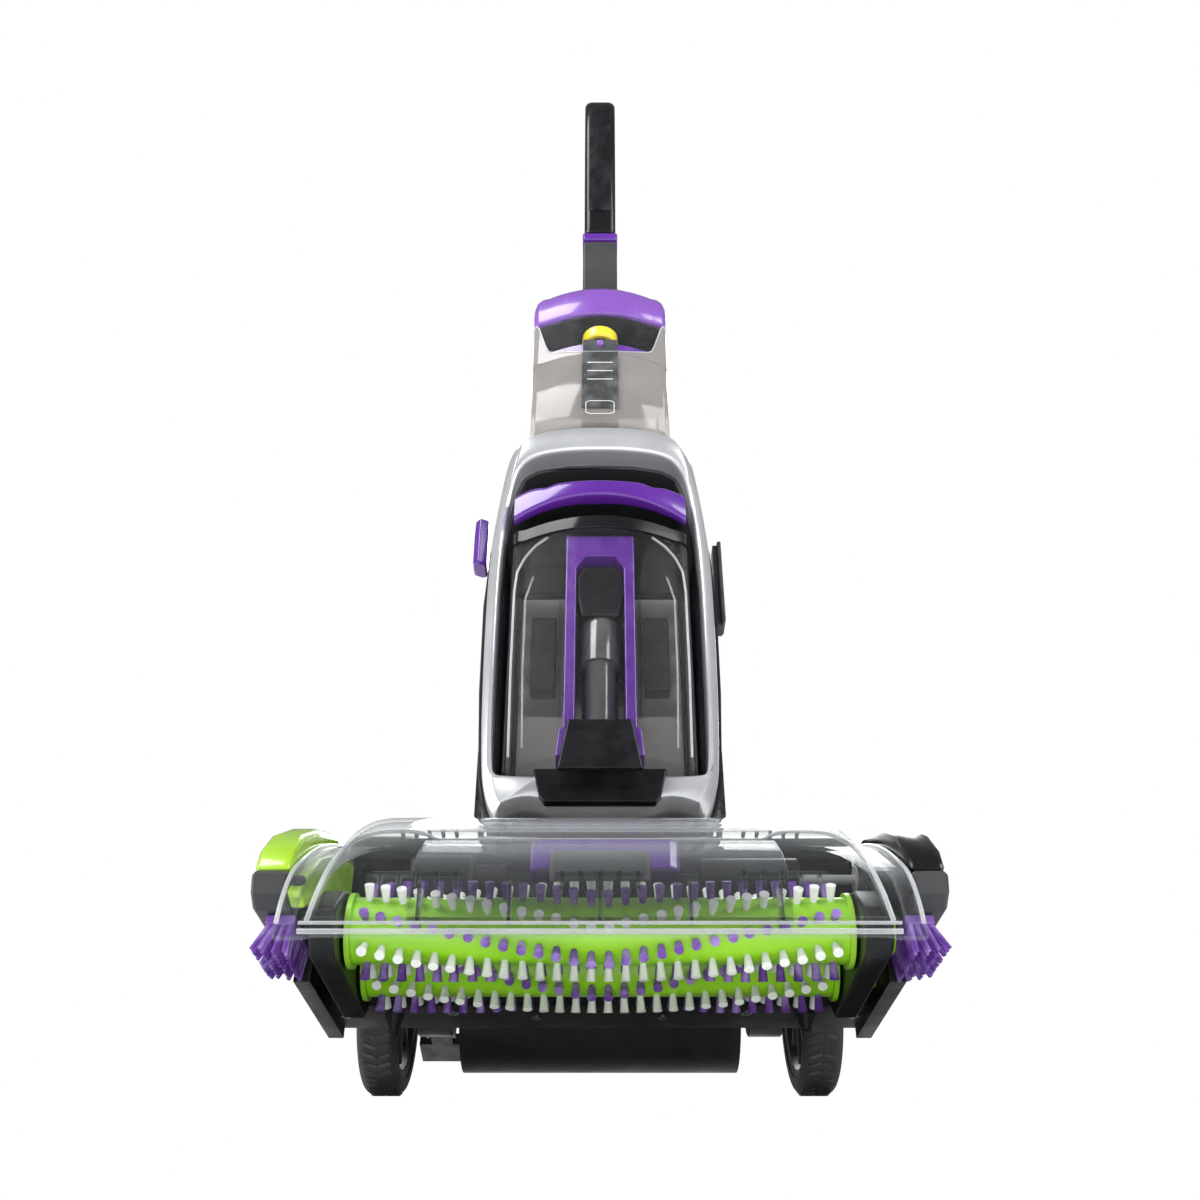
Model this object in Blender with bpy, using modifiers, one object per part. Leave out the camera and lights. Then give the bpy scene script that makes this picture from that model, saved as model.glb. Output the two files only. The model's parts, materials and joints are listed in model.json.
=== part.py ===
"""Upright carpet cleaner: a brush foot on two wheels, a reclining body, a recovery tank, a clean-water tank and a loop handle.

Frame: X to the right of someone facing the machine, +Y towards its back, +Z up, floor at Z = 0.
The origin lies on the floor, in the middle of the machine's footprint.
All sizes in this file are millimetres; MM turns them into Blender's metres.
"""

import math

import bmesh
import bpy
from mathutils import Matrix, Vector

MM = 0.001
GAP = 0.4  # clearance kept between neighbouring pieces
WELD = 1e-6  # metres within which corners are one
SOFTEN_FROM = 50.0  # degrees an edge turns before it is rounded
STRAIGHT = 1e-3  # square millimetres of bend below which a run is straight

# Driving dimensions
ROLL_Z = 28.4  # height of both brush rolls' axes
ROLL_FRONT_Y = -135.0
ROLL_REAR_Y = -77.0
ROLL_HALF = 141.0  # half length over the flanges
SHAFT_R = 5.0
CORE_R = 18.5
FLANGE_R = 21.0
BRISTLE_R = 28.2  # leaves the tips a hair above the floor
PULLEY_X = 157.5  # near face of the three belt pulleys
ROLL_PULLEY_R = 11.0
MOTOR_PULLEY_R = 7.0
MOTOR_Y = -88.0
MOTOR_Z = 78.0
MOTOR_R = 13.0
AXLE_Y = 118.0  # wheels and the recline pivot share this axis
AXLE_Z = 68.0
WHEEL_R = 68.0
WHEEL_IN = 143.0
WHEEL_OUT = 171.0
AXLE_R = 6.0
FOOT_HALF = 188.0
COVER_IN = 167.5
ARM_IN = 110.0
ARM_OUT = 134.0
TRUNNION_R = 20.0
HOUSING_R = 52.0
HOUSING_HALF = 100.0
TANK_FLOOR = 213.6
TANK_RIM = 427.0
CLEAN_FLOOR = 563.0
CLEAN_RIM = 708.0
CAP_TOP = 746.0
ROCKER_TILT = 6.0  # degrees either way from level
ROCKER_PIVOT = (184.0, 135.0)  # pivots are (y, z)
PEDAL_PIN = (152.0, 56.0)
TRIGGER_PIVOT = (122.0, 1083.0)
HOOK_Z = 508.0
FLOAT_Y = 99.0  # the float's rail, clear of the inlet tube in front of it

UPRIGHT_PIECES = (
    "motor_housing", "suction_motor", "silver_arch", "rear_housing", "rear_panel", "bay_liner", "suction_duct",
    "name_plate", "hose_clip", "hose_rest", "handle_stem", "handle_collar", "handle_loop", "grip_panel",
)
RECOVERY_PIECES = (
    "tank_shell", "tank_lid", "tank_handle", "tank_badge", "tank_stack", "inlet_tube", "separator_cone", "tank_float",
)
CLEAN_PIECES = ("clean_shell", "clean_deck", "clean_cap", "cap_lid", "fill_cap")

COLOURS = {  # base colour, roughness, metallic, alpha
    "black": ((0.018, 0.018, 0.020), 0.38, 0.0, 1.0),
    "graphite": ((0.070, 0.072, 0.078), 0.42, 0.0, 1.0),
    "silver": ((0.62, 0.63, 0.65), 0.30, 0.55, 1.0),
    "purple": ((0.135, 0.032, 0.330), 0.30, 0.1, 1.0),
    "green": ((0.330, 0.640, 0.018), 0.35, 0.0, 1.0),
    "yellow": ((0.90, 0.74, 0.01), 0.35, 0.0, 1.0),
    "clear": ((0.85, 0.86, 0.88), 0.06, 0.0, 0.30),
    "smoke": ((0.52, 0.49, 0.48), 0.08, 0.0, 0.45),
    "grey": ((0.33, 0.34, 0.35), 0.40, 0.0, 1.0),
    "steel": ((0.55, 0.56, 0.58), 0.28, 1.0, 1.0),
    "rubber": ((0.030, 0.030, 0.032), 0.75, 0.0, 1.0),
    "bristle": ((0.24, 0.08, 0.45), 0.55, 0.0, 1.0),
}


# ---------- helpers ----------

def clear_scene():
    for old in list(bpy.data.objects):
        bpy.data.objects.remove(old)
    for name in ("carpet_cleaner", "cutters"):
        group = bpy.data.collections.new(name)
        bpy.context.scene.collection.children.link(group)


def material(name):
    made = bpy.data.materials.get(name)
    if made is None:
        colour, roughness, metallic, alpha = COLOURS[name]
        made = bpy.data.materials.new(name)
        made.use_nodes = True
        shader = made.node_tree.nodes["Principled BSDF"]
        shader.inputs["Base Color"].default_value = (*colour, 1.0)
        shader.inputs["Roughness"].default_value = roughness
        shader.inputs["Metallic"].default_value = metallic
        shader.inputs["Alpha"].default_value = alpha
        made.diffuse_color = (*colour, alpha)
    return made


def add(name, mesh, look=None):
    """A new object from a mesh: a part when it has a look, or else a cutter that the build leaves out."""
    made = bpy.data.objects.new(name, mesh)
    if look:
        bpy.data.collections["carpet_cleaner"].objects.link(made)
        mesh.materials.clear()
        mesh.materials.append(material(look))
        mesh.shade_smooth()
        mesh.set_sharp_from_angle(angle=math.radians(35))
    else:
        bpy.data.collections["cutters"].objects.link(made)
        made.hide_render = True
        made.display_type = "WIRE"
    return made


def mesh_from(name, shape):
    shape.normal_update()
    mesh = bpy.data.meshes.new(name)
    shape.to_mesh(mesh)
    shape.free()
    return mesh


def soften(part, width, steps):
    """Rounds the edges that turn more than SOFTEN_FROM degrees."""
    if width:
        bevel = part.modifiers.new("rounded_edges", "BEVEL")
        bevel.width = width * MM
        bevel.segments = steps
        bevel.limit_method = "ANGLE"
        bevel.angle_limit = math.radians(SOFTEN_FROM)
    return part


def box(name, x, y, z, look=None, bevel=0.0, steps=1):
    """A box from x = (low, high), y and z, placed by its middle, with its edges rounded by bevel."""
    shape = bmesh.new()
    low = Vector((x[0], y[0], z[0])) * MM
    high = Vector((x[1], y[1], z[1])) * MM
    bmesh.ops.create_cube(shape, size=1.0)
    bmesh.ops.scale(shape, vec=high - low, verts=shape.verts)
    made = add(name, mesh_from(name, shape), look)
    made.location = (low + high) / 2
    return soften(made, bevel, steps)


TURNS = {  # turns a shape made along its own Z so that it lies along the axis named
    "z": Matrix.Identity(3),
    "x": Matrix.Rotation(math.radians(90), 3, "Y"),
    "y": Matrix.Rotation(math.radians(-90), 3, "X"),
}


def lie_along(part, axis, along, centre):
    """Places a part made along its own Z: along is its place on the axis, centre the other two coordinates."""
    place = {
        "x": (along, *centre),
        "y": (centre[0], along, centre[1]),
        "z": (*centre, along),
    }[axis]
    part.location = Vector(place) * MM
    part.rotation_euler = TURNS[axis].to_euler()
    return part


def cylinder(name, axis, low, high, centre, radius, look=None, top=None, sides=32):
    """A cylinder or cone from low to high along an axis; centre holds the other two coordinates in order."""
    shape = bmesh.new()
    far = radius if top is None else top
    bmesh.ops.create_cone(shape, cap_ends=True, segments=sides, radius1=radius * MM, radius2=far * MM,
                          depth=(high - low) * MM)
    made = add(name, mesh_from(name, shape), look)
    return lie_along(made, axis, (low + high) / 2, centre)


FACINGS = {  # lays a flat outline, drawn in its own X and Y, across the axis named
    "x": Matrix(((0, 0, 1), (1, 0, 0), (0, 1, 0))),
    "y": Matrix(((1, 0, 0), (0, 0, -1), (0, 1, 0))),
    "z": Matrix.Identity(3),
}


def corners_of(outline):
    """The outline without the points that lie on a straight run, which a filled curve would leave unwelded."""
    kept = []
    for i, (u, v) in enumerate(outline):
        before, after = outline[i - 1], outline[(i + 1) % len(outline)]
        bend = (u - before[0]) * (after[1] - v) - (v - before[1]) * (after[0] - u)
        if abs(bend) > STRAIGHT:
            kept.append((u, v))
    return kept


def slab(name, axis, outline, low, high, look=None, bevel=0.0, steps=1):
    """A flat outline extruded from low to high. On axis x the outline is (y, z), on y it is (x, z), on z it is (x, y)."""
    curve = bpy.data.curves.new(name, "CURVE")
    curve.dimensions = "2D"
    curve.fill_mode = "BOTH"
    curve.extrude = (high - low) / 2 * MM
    line = curve.splines.new("POLY")
    line.use_cyclic_u = True
    corners = corners_of(outline)
    line.points.add(len(corners) - 1)
    for point, (u, v) in zip(line.points, corners):
        point.co = (u * MM, v * MM, 0.0, 1.0)
    middle = (low + high) / 2 * MM
    holder = bpy.data.objects.new(name + "_outline", curve)
    holder.location = {"x": (middle, 0, 0), "y": (0, middle, 0), "z": (0, 0, middle)}[axis]
    holder.rotation_euler = FACINGS[axis].to_euler()
    mesh = solid_mesh(holder)
    made = add(name, mesh, look)
    made.location = holder.location
    made.rotation_euler = holder.rotation_euler
    bpy.data.objects.remove(holder)
    return soften(made, bevel, steps)


def solid_mesh(holder):
    """The mesh of a curve object, with its caps welded to its sides."""
    bpy.context.scene.collection.objects.link(holder)
    bpy.context.view_layer.update()
    mesh = bpy.data.meshes.new_from_object(holder.evaluated_get(bpy.context.evaluated_depsgraph_get()))
    shape = bmesh.new()
    shape.from_mesh(mesh)
    bmesh.ops.remove_doubles(shape, verts=shape.verts, dist=WELD)
    bmesh.ops.recalc_face_normals(shape, faces=shape.faces)
    return mesh_from(holder.name, shape)


def turned(name, axis, profile, centre, look=None, steps=32):
    """A shape turned about an axis by a Screw modifier.

    The profile is (distance along the axis,
            radius): from the axis out and back to it, or a closed loop off it.
    """
    count = len(profile)
    turn = sum(profile[i - 1][1] * profile[i][0] - profile[i][1] * profile[i - 1][0] for i in range(count))
    run = profile[::-1] if turn > 0 else profile  # down the outer side, so that faces point out
    shape = bmesh.new()
    corners = [shape.verts.new((r * MM, 0.0, a * MM)) for a, r in run]
    follow = corners[1:] if profile[0][1] == 0 else corners[1:] + corners[:1]
    for first, second in zip(corners, follow):
        shape.edges.new((first, second))
    made = add(name, mesh_from(name, shape), look)
    lathe = made.modifiers.new("lathe", "SCREW")
    lathe.steps = steps
    lathe.render_steps = steps
    lathe.use_merge_vertices = True
    lathe.merge_threshold = WELD
    return lie_along(made, axis, 0, centre)


def pivot(name, place, *pieces):
    """An empty on a joint's axis, with the pieces that move about it as its children."""
    empty = bpy.data.objects.new(name, None)
    empty.location = Vector(place) * MM
    empty.empty_display_size = 0.02
    bpy.data.collections["carpet_cleaner"].objects.link(empty)
    for piece in pieces:
        made = bpy.data.objects[piece]
        made.parent = empty
        made.matrix_parent_inverse = Matrix.Translation(empty.location).inverted()
    return empty


def loft(name, rings, look=None, closed=False):
    """Skins rings of equal length, each a list of (x, y, z). Closed joins the last ring to the first."""
    shape = bmesh.new()
    rows = [[shape.verts.new(Vector(p) * MM) for p in ring] for ring in rings]
    pairs = list(zip(rows, rows[1:])) + ([(rows[-1], rows[0])] if closed else [])
    for first, second in pairs:
        for i in range(len(first)):
            j = (i + 1) % len(first)
            shape.faces.new((first[i], first[j], second[j], second[i]))
    if not closed:
        shape.faces.new(rows[0][::-1])
        shape.faces.new(rows[-1])
    bmesh.ops.recalc_face_normals(shape, faces=shape.faces)
    return add(name, mesh_from(name, shape), look)


def rod(name, points, radius, look, sides=2):
    """A round bar along points, made a mesh with its caps welded."""
    curve = bpy.data.curves.new(name, "CURVE")
    curve.dimensions = "3D"
    curve.bevel_depth = radius * MM
    curve.bevel_resolution = sides
    curve.use_fill_caps = True
    line = curve.splines.new("POLY")
    line.points.add(len(points) - 1)
    for point, place in zip(line.points, points):
        point.co = (*(Vector(place) * MM), 1.0)
    holder = bpy.data.objects.new(name + "_path", curve)
    mesh = solid_mesh(holder)
    bpy.data.objects.remove(holder)
    return add(name, mesh, look)


def combine(part, others, operation):
    for other in others:
        step = part.modifiers.new(operation.lower() + "_" + other.name, "BOOLEAN")
        step.operation = operation
        step.object = other
    return part


def cut(part, *others):
    return combine(part, others, "DIFFERENCE")


def join(part, *others):
    return combine(part, others, "UNION")


def arc(centre, radius, start, end, steps):
    """Points along an arc, in degrees from the first axis towards the second."""
    angles = [math.radians(start + (end - start) * i / steps) for i in range(steps + 1)]
    return [(centre[0] + radius * math.cos(a), centre[1] + radius * math.sin(a)) for a in angles]


def plan(half, front, shoulder, back, corner, steps=6):
    """A tank's outline seen from above: a bowed front, then straight sides and rounded back corners.

    front is the bow's Y at the middle, shoulder its Y at the sides.
    """
    points = []
    for i in range(-steps, steps + 1):
        x = (half - corner) * i / steps
        points.append((x, front + (shoulder - front) * (i / steps) ** 2))
    points += arc((half - corner, shoulder + corner), corner, -60, 0, 2)
    points += arc((half - corner, back - corner), corner, 0, 90, 3)
    points += arc((corner - half, back - corner), corner, 90, 180, 3)
    points += arc((corner - half, shoulder + corner), corner, 180, 240, 2)
    return points


def inset(outline, amount):
    """The outline moved in by an amount, parallel to its sides."""
    count = len(outline)
    area = sum(outline[i - 1][0] * outline[i][1] - outline[i][0] * outline[i - 1][1] for i in range(count))
    inward = amount if area > 0 else -amount
    made = []
    for i in range(count):
        here = Vector(outline[i])
        before = (here - Vector(outline[i - 1])).normalized()
        after = (Vector(outline[(i + 1) % count]) - here).normalized()
        normal = Vector((-before.y - after.y, before.x + after.x))
        step = normal * inward * 2 / normal.length_squared
        made.append((here.x + step.x, here.y + step.y))
    return made


def mirrored(outline):
    return [(-u, v) for u, v in outline][::-1]


# ---------- foot ----------

HOOD_ROWS = [  # (bulging middle), (flat side panel), half width of the bulge, wall thickness
    ((-209, 0), (-205, 0), 154, 8.0),
    ((-208.8, 6), (-204, 6), 153, 8.0),
    ((-208.5, 7.2), (-203.5, 7.2), 153, 2.4),
    ((-208, 26), (-199, 22), 150, 2.4),
    ((-201, 48), (-187, 41), 146, 2.4),
    ((-186, 66), (-163, 60), 142, 2.4),
    ((-162, 84), (-133, 79), 135, 2.4),
    ((-126, 102), (-100, 95), 126, 2.4),
    ((-90, 118), (-76, 104), 118, 2.4),
    ((-56, 128), (-56, 108), 110, 2.4),
]
HOOD_EDGE = 166.6  # half width over the flat side panels


def hood_rings():
    """Rows of the hood from the lip to its back edge, each an outer run and an inner run moved in by the wall."""
    columns = [-HOOD_EDGE] + list(range(-160, -99, 5)) + [-60, 0]
    columns += [-x for x in columns[-2::-1]]
    rings = []
    for i, (high, low, half, wall) in enumerate(HOOD_ROWS):
        outer, inner = [], []
        lean = math.radians(max(0, 10 * (i - 2)) + (8 if i > 1 else 0))
        for x in columns:
            swell = max(0.0, min(1.0, (half - abs(x)) / 10))
            y = low[0] + (high[0] - low[0]) * swell
            z = low[1] + (high[1] - low[1]) * swell
            outer.append((x, y, z))
            inner.append((x, y + wall * math.cos(lean), z - wall * math.sin(lean)))
        rings.append(outer + inner[::-1])
    return rings


def nozzle_hood():
    return loft("nozzle_hood", hood_rings(), "clear")


def suction_channel():
    """The clear inner wall that makes the narrow suction channel behind the hood, with its standing ribs."""
    half, wall = 100.0, 2.0
    line = [(-199.5, 4), (-198.5, 25), (-191.5, 44), (-177, 59), (-156, 74)]
    back = [(y + wall, z - wall * 0.6) for y, z in line]
    back[0] = (line[0][0] + wall, line[0][1])
    made = slab("suction_channel", "x", line + back[::-1], -half, half, "clear")
    ribs = [box(f"channel_rib_{i}", (x - 1, x + 1), (-202.4, -196), (9, 31)) for i,
            x in enumerate((-94, -47, 0, 47, 94))]
    return join(made, *ribs)


def foot_chassis():
    """The black base: floor plate behind the rolls, chamber back wall, side rails and the two arms to the wheels."""
    plate = slab("foot_chassis", "z", [(-176, -43), (176, -43), (172, 4), (-172, 4)], 14, 18.5, "black")
    wall = box("chassis_wall", (-164, 164), (-42.6, -39.4), (14.6, 62))
    arms, bores = [], []
    profile = [(-41.6, 15.2), (2.6, 15.2), (60, 30), (104, 43.5)]
    profile += arc((AXLE_Y, AXLE_Z), 27, -118, 90, 9)
    profile += [(70, 94), (20, 84), (-41.6, 61)]
    for side in (-1, 1):
        ends = sorted((side * ARM_IN, side * ARM_OUT))
        tag = "left" if side < 0 else "right"
        arms.append(slab(f"chassis_arm_{tag}", "x", profile, *ends))
        socket = sorted((side * (ARM_IN - 1), side * (ARM_IN + 16)))
        bores.append(cylinder(f"trunnion_socket_{tag}", "x", *socket, (AXLE_Y, AXLE_Z), TRUNNION_R + GAP))
        stub = [(ARM_OUT - 4, 0), (ARM_OUT - 4, AXLE_R), (WHEEL_OUT + GAP, AXLE_R), (WHEEL_OUT + GAP, 10),
                (WHEEL_OUT + 3, 8),
                (WHEEL_OUT + 3, 0)]
        arms.append(turned(f"axle_{tag}", "x", [(side * a, r) for a, r in stub], (AXLE_Y, AXLE_Z),
                steps=24))
        rail = sorted((side * 165.5, side * 175.2))
        arms.append(box(f"chassis_rail_{tag}", rail, (-112, 2), (7, 25)))
        arms.append(cylinder(f"glide_stud_{tag}", "z", 5, 15, (side * 130, -22), 3.5, top=7, sides=16))
    lugs = [box(f"pedal_lug_{i}", x, (138, 158), (50, 62)) for i,
            x in enumerate(((-133.4, -130.6), (-113.4, -110.6)))]
    pin_hole = cylinder("pedal_pin_hole", "x", -135, -109, PEDAL_PIN, 2.6, sides=16)
    join(plate, wall, *arms, *lugs)
    return cut(plate, *bores, pin_hole)


def foot_cover():
    """The black upper housing between the hood and the body, open underneath."""
    outer = [(-51, 63.5), (-54.5, 66), (-54.5, 100), (-51, 122), (-40, 128.5), (-8, 124), (26, 102),
            (46, 63.5)]
    inner = [(-50.5, 55), (-50.5, 99), (-47.5, 118), (-38.5, 124.5), (-10, 120.4), (23, 99.5), (42, 62),
            (42, 55)]
    shell = slab("foot_cover", "x", outer, -165, 165, "black", bevel=1.6)
    hollow = slab("foot_cover_hollow", "x", inner, -161.5, 161.5)
    slots = [box(f"arm_slot_{i}", x, (-46, 60), (50, 96)) for i, x in enumerate(((-136, -108), (108, 136)))]
    return cut(shell, hollow, *slots)


def chamber_liner():
    """The dark grey inner wall seen through the hood, above and behind the rolls."""
    line = [(-58, 62), (-60, 84), (-64, 92)]
    back = [(y + 2.6, z) for y, z in line[::-1]]
    return slab("chamber_liner", "x", line + back, -150, 150, "graphite")


def end_cover(side):
    """The shaped cover over one end of the rolls: a coloured upper shell on a dark lower band."""
    tag, look = ("left", "green") if side < 0 else ("right", "graphite")
    ends = sorted((side * COVER_IN, side * FOOT_HALF))
    upper = [(-184, 44.5), (-179, 58), (-160, 76), (-128, 94), (-92, 108), (-60, 112), (-22, 108),
            (2, 84), (6, 44.5)]
    top = slab(f"end_cover_{tag}", "x", upper, *ends, look, bevel=4.0, steps=2)
    pocket_x = sorted((side * (COVER_IN - 1), side * (COVER_IN + 9)))
    pocket = slab(f"end_pocket_{tag}", "x", [(-150, 40), (-146, 64), (-120, 80), (-60, 92), (-24, 84),
            (-14, 40)], *pocket_x)
    cut(top, pocket)
    lower = [(-186, 44.1), (6, 44.1), (6, 26), (-172, 26), (-182, 32)]
    slab(f"end_base_{tag}", "x", lower, *ends, "graphite", bevel=2.0)


def bearing_block(side):
    """The dark side wall that holds the ends of both rolls."""
    tag = "left" if side < 0 else "right"
    profile = [(-172, 12), (-160, 3.5), (-54, 3.5), (-44.5, 12), (-44.5, 61), (-104, 61), (-150, 46),
            (-172, 28)]
    ends = sorted((side * (ROLL_HALF + 1.5), side * 156.5))
    block = slab(f"bearing_block_{tag}", "x", profile, *ends, "graphite", bevel=1.5)
    holes = []
    for y in (ROLL_FRONT_Y, ROLL_REAR_Y):
        reach = sorted((side * ROLL_HALF, side * 170))
        holes.append(cylinder(f"bearing_bore_{tag}_{int(-y)}", "x", *reach, (y, ROLL_Z), SHAFT_R + GAP,
                sides=20))
    return cut(block, *holes)


def edge_brush(side):
    tag = "left" if side < 0 else "right"
    outline = [(164, 4), (171, 0.6), (186.5, 16), (180, 25.5), (166, 25.5)]
    if side < 0:
        outline = mirrored(outline)
    return slab(f"edge_brush_{tag}", "y", outline, -168, -116, "bristle")


def brush_roll(which, y):
    """A green core with end flanges, shaft and belt pulley, and the bristle field around it as one sleeve."""
    half = ROLL_HALF
    core = [(-half - 12, 0), (-half - 12, SHAFT_R), (-half, SHAFT_R), (-half, FLANGE_R),
            (3 - half, FLANGE_R),
            (3 - half, CORE_R), (half - 3, CORE_R), (half - 3, FLANGE_R), (half, FLANGE_R), (half, SHAFT_R)]
    core += pulley_profile(ROLL_PULLEY_R, SHAFT_R) + [(PULLEY_X + 7, 0)]
    turned(f"{which}_roll_core", "x", core, (y, ROLL_Z), "green", steps=24)
    reach = half - 3 - GAP
    sleeve = [(-reach, CORE_R + GAP), (-reach, BRISTLE_R), (reach, BRISTLE_R), (reach, CORE_R + GAP)]
    turned(f"{which}_roll_bristles", "x", sleeve, (y, ROLL_Z), "bristle", steps=32)


def pulley_profile(radius, bore):
    """A flanged belt pulley at the belt's place along the X axis, from its bore out and back, as (x, radius)."""
    low, rim = PULLEY_X, radius + 2
    return [(low, bore), (low, rim), (low + 1, rim), (low + 1, radius), (low + 6, radius), (low + 6, rim),
            (low + 7, rim)]


def belt_route(offset):
    """The belt's loop round the three pulleys, offset out from their grooves: a tangent polygon with round corners."""
    wheels = [((ROLL_FRONT_Y, ROLL_Z), ROLL_PULLEY_R), ((ROLL_REAR_Y, ROLL_Z), ROLL_PULLEY_R),
            ((MOTOR_Y, MOTOR_Z), MOTOR_PULLEY_R)]
    points = []
    for i, (centre, radius) in enumerate(wheels):
        before, after = wheels[i - 1], wheels[(i + 1) % 3]
        start = tangent_angle(before, (centre, radius))
        end = tangent_angle((centre, radius), after)
        while end < start:
            end += 360
        points += arc(centre, radius + offset, start, end, 6)
    return points


def tangent_angle(first, second):
    """The angle of the outer tangent's contact point between two pulleys, going round the outside."""
    (y0, z0), r0 = first
    (y1, z1), r1 = second
    heading = math.atan2(z1 - z0, y1 - y0)
    lean = math.acos((r0 - r1) / math.hypot(y1 - y0, z1 - z0))
    return math.degrees(heading - lean)


def drive_train():
    """Brush motor, its shaft with the small pulley, and the belt that turns both rolls."""
    cylinder("brush_motor", "x", 62, 122, (MOTOR_Y, MOTOR_Z), MOTOR_R, "grey", sides=28)
    spindle = [(122.6, 0), (122.6, 3)] + pulley_profile(MOTOR_PULLEY_R, 3) + [(PULLEY_X + 7, 0)]
    turned("motor_pulley", "x", spindle, (MOTOR_Y, MOTOR_Z), "steel", steps=20)
    ring = slab("drive_belt", "x", belt_route(GAP + 1.6), PULLEY_X + 1 + GAP, PULLEY_X + 6 - GAP, "rubber")
    hole = slab("belt_hollow", "x", belt_route(GAP), PULLEY_X, PULLEY_X + 8)
    return cut(ring, hole)


def under_hood():
    """What the clear hood shows above the rolls: heater cover, spray manifold and tip, and the pump."""
    heater = slab("heater_cover", "z", [(-44, -84), (-38, -88), (44, -88), (50, -84), (50, -65.5),
            (-44, -65.5)], 84, 106, "purple", bevel=2.0)
    manifold = box("spray_manifold", (-31, 31), (-104, -89.5), (70, 92), "graphite", bevel=3.0, steps=2)
    join(manifold, cylinder("spray_tip", "z", 60.5, 71, (0, -97), 3, top=5, sides=16))
    body = box("water_pump", (-118, -78), (-92, -66), (66, 94), "grey", bevel=3.0)
    head = cylinder("pump_head", "x", -82, -58, (-79, 80), 11, sides=20)
    join(body, head)
    return heater


def wheel(side):
    tag = "left" if side < 0 else "right"
    mid = (WHEEL_IN + WHEEL_OUT) / 2
    w = WHEEL_OUT - WHEEL_IN
    rim = 56.0
    tyre = [(-w / 2, rim + GAP), (-w / 2, 63.5), (4 - w / 2, WHEEL_R), (w / 2 - 9, WHEEL_R),
            (w / 2 - 3, 65.5), (w / 2, 60), (w / 2, rim + GAP)]
    hub = [(-w / 2 + 1, AXLE_R + GAP), (-w / 2 + 1, 15), (-w / 2 + 6, 17), (-w / 2 + 6, 46),
            (-w / 2 + 1, 49), (-w / 2 + 1, rim),
           (w / 2 - 1, rim), (w / 2 - 1, 50), (w / 2 - 6, 46), (w / 2 - 5, 17), (w / 2 - 1,
                   14), (w / 2 - 1, AXLE_R + GAP)]
    for name, profile, look, steps in ((f"tyre_{tag}", tyre, "rubber", 40),
            (f"hub_{tag}", hub, "black", 28)):
        turned(name, "x", [(side * (mid + a), r) for a, r in profile], (AXLE_Y, AXLE_Z), look, steps=steps)


def recline_pedal():
    pad = slab("recline_pedal", "x", [(149, 52), (156, 51), (196, 44), (199, 46), (198, 50), (160, 60),
            (152, 61), (147, 57)],
               -130, -114, "black", bevel=1.0)
    toe = slab("pedal_toe", "x", [(170, 48.6), (197, 43), (200.5, 45), (199, 50.5), (171, 57.4)], -140,
            -104)
    pin = cylinder("pedal_pin", "x", -133, -111, PEDAL_PIN, 2.2, sides=16)
    return join(pad, toe, pin)


def make_foot():
    foot_chassis()
    foot_cover()
    chamber_liner()
    nozzle_hood()
    suction_channel()
    for side in (-1, 1):
        end_cover(side)
        bearing_block(side)
        edge_brush(side)
        wheel(side)
    brush_roll("front", ROLL_FRONT_Y)
    brush_roll("rear", ROLL_REAR_Y)
    drive_train()
    under_hood()
    recline_pedal()


# ---------- reclining body ----------

FRAME_OUTER = [(0, 176), (60, 176), (82, 179), (91, 196), (95.5, 222), (99, 300), (100, 385), (97, 440),
        (88.5, 495),
               (82, 531), (70, 548), (48, 557), (22, 560.5), (0, 561.5)]
FRAME_INNER = [(0, 209), (81, 209), (85, 213), (86, 228), (87, 300), (87.5, 385), (84.5, 440), (77.5, 490),
               (70, 512), (56, 522), (30, 527), (0, 528)]


def whole(half):
    """A right-hand half outline, bottom to top, made into the whole outline."""
    return half + [(-u, v) for u, v in half[-2:0:-1]]


def motor_housing():
    """The black drum on the pivot axis with its neck, the two round boots at its front and the trunnions."""
    body = cylinder("motor_housing", "x", -HOUSING_HALF, HOUSING_HALF, (AXLE_Y, AXLE_Z), HOUSING_R,
            "black", sides=48)
    neck = slab("housing_neck", "x", [(75, 92), (166, 92), (187, 110), (187, 175.5), (66, 175.5),
            (66, 128)], -84, 84)
    extras = [neck]
    for i, x in enumerate((-52, 52)):
        extras.append(cylinder(f"housing_boot_{i}", "y", 36, 100, (x, 150), 27, sides=32))
    reach = HOUSING_HALF + 25
    extras.append(cylinder("housing_trunnions", "x", -reach, reach, (AXLE_Y, AXLE_Z), TRUNNION_R))
    join(body, *extras)
    hollow = cylinder("drum_hollow", "x", -88, 88, (AXLE_Y, AXLE_Z), 44, sides=40)
    shaft = box("neck_hollow", (-70, 70), (92, 176), (90, 180))
    vents = [box(f"exhaust_slot_{i}", (x - 3, x + 3), (155, 195), (60, 88)) for i,
            x in enumerate(range(-54, 55, 12))]
    pocket = box("switch_pocket", (-62.6, 62.6), (180, 190), (116.8, 153.2))
    return cut(body, hollow, shaft, pocket, *vents)


def blower():
    """Suction motor and its fan, on one axis inside the drum."""
    cylinder("suction_motor", "x", -20, 66, (AXLE_Y, AXLE_Z), 36, "grey", sides=32)
    fan = cylinder("suction_fan", "x", -58, -36, (AXLE_Y, AXLE_Z), 16, "black", sides=24)
    shaft = cylinder("fan_shaft", "x", -40, -20.6, (AXLE_Y, AXLE_Z), 4, sides=16)
    blades = []
    for i in range(8):
        angle = math.radians(45 * i)
        blade = box(f"fan_blade_{i}", (-55, -38), (-1, 1), (-13, 13))
        blade.location = Vector((-46.5, AXLE_Y - 25 * math.sin(angle), AXLE_Z + 25 * math.cos(angle))) * MM
        blade.rotation_euler.x = angle
        blades.append(blade)
    return join(fan, shaft, *blades)


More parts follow.
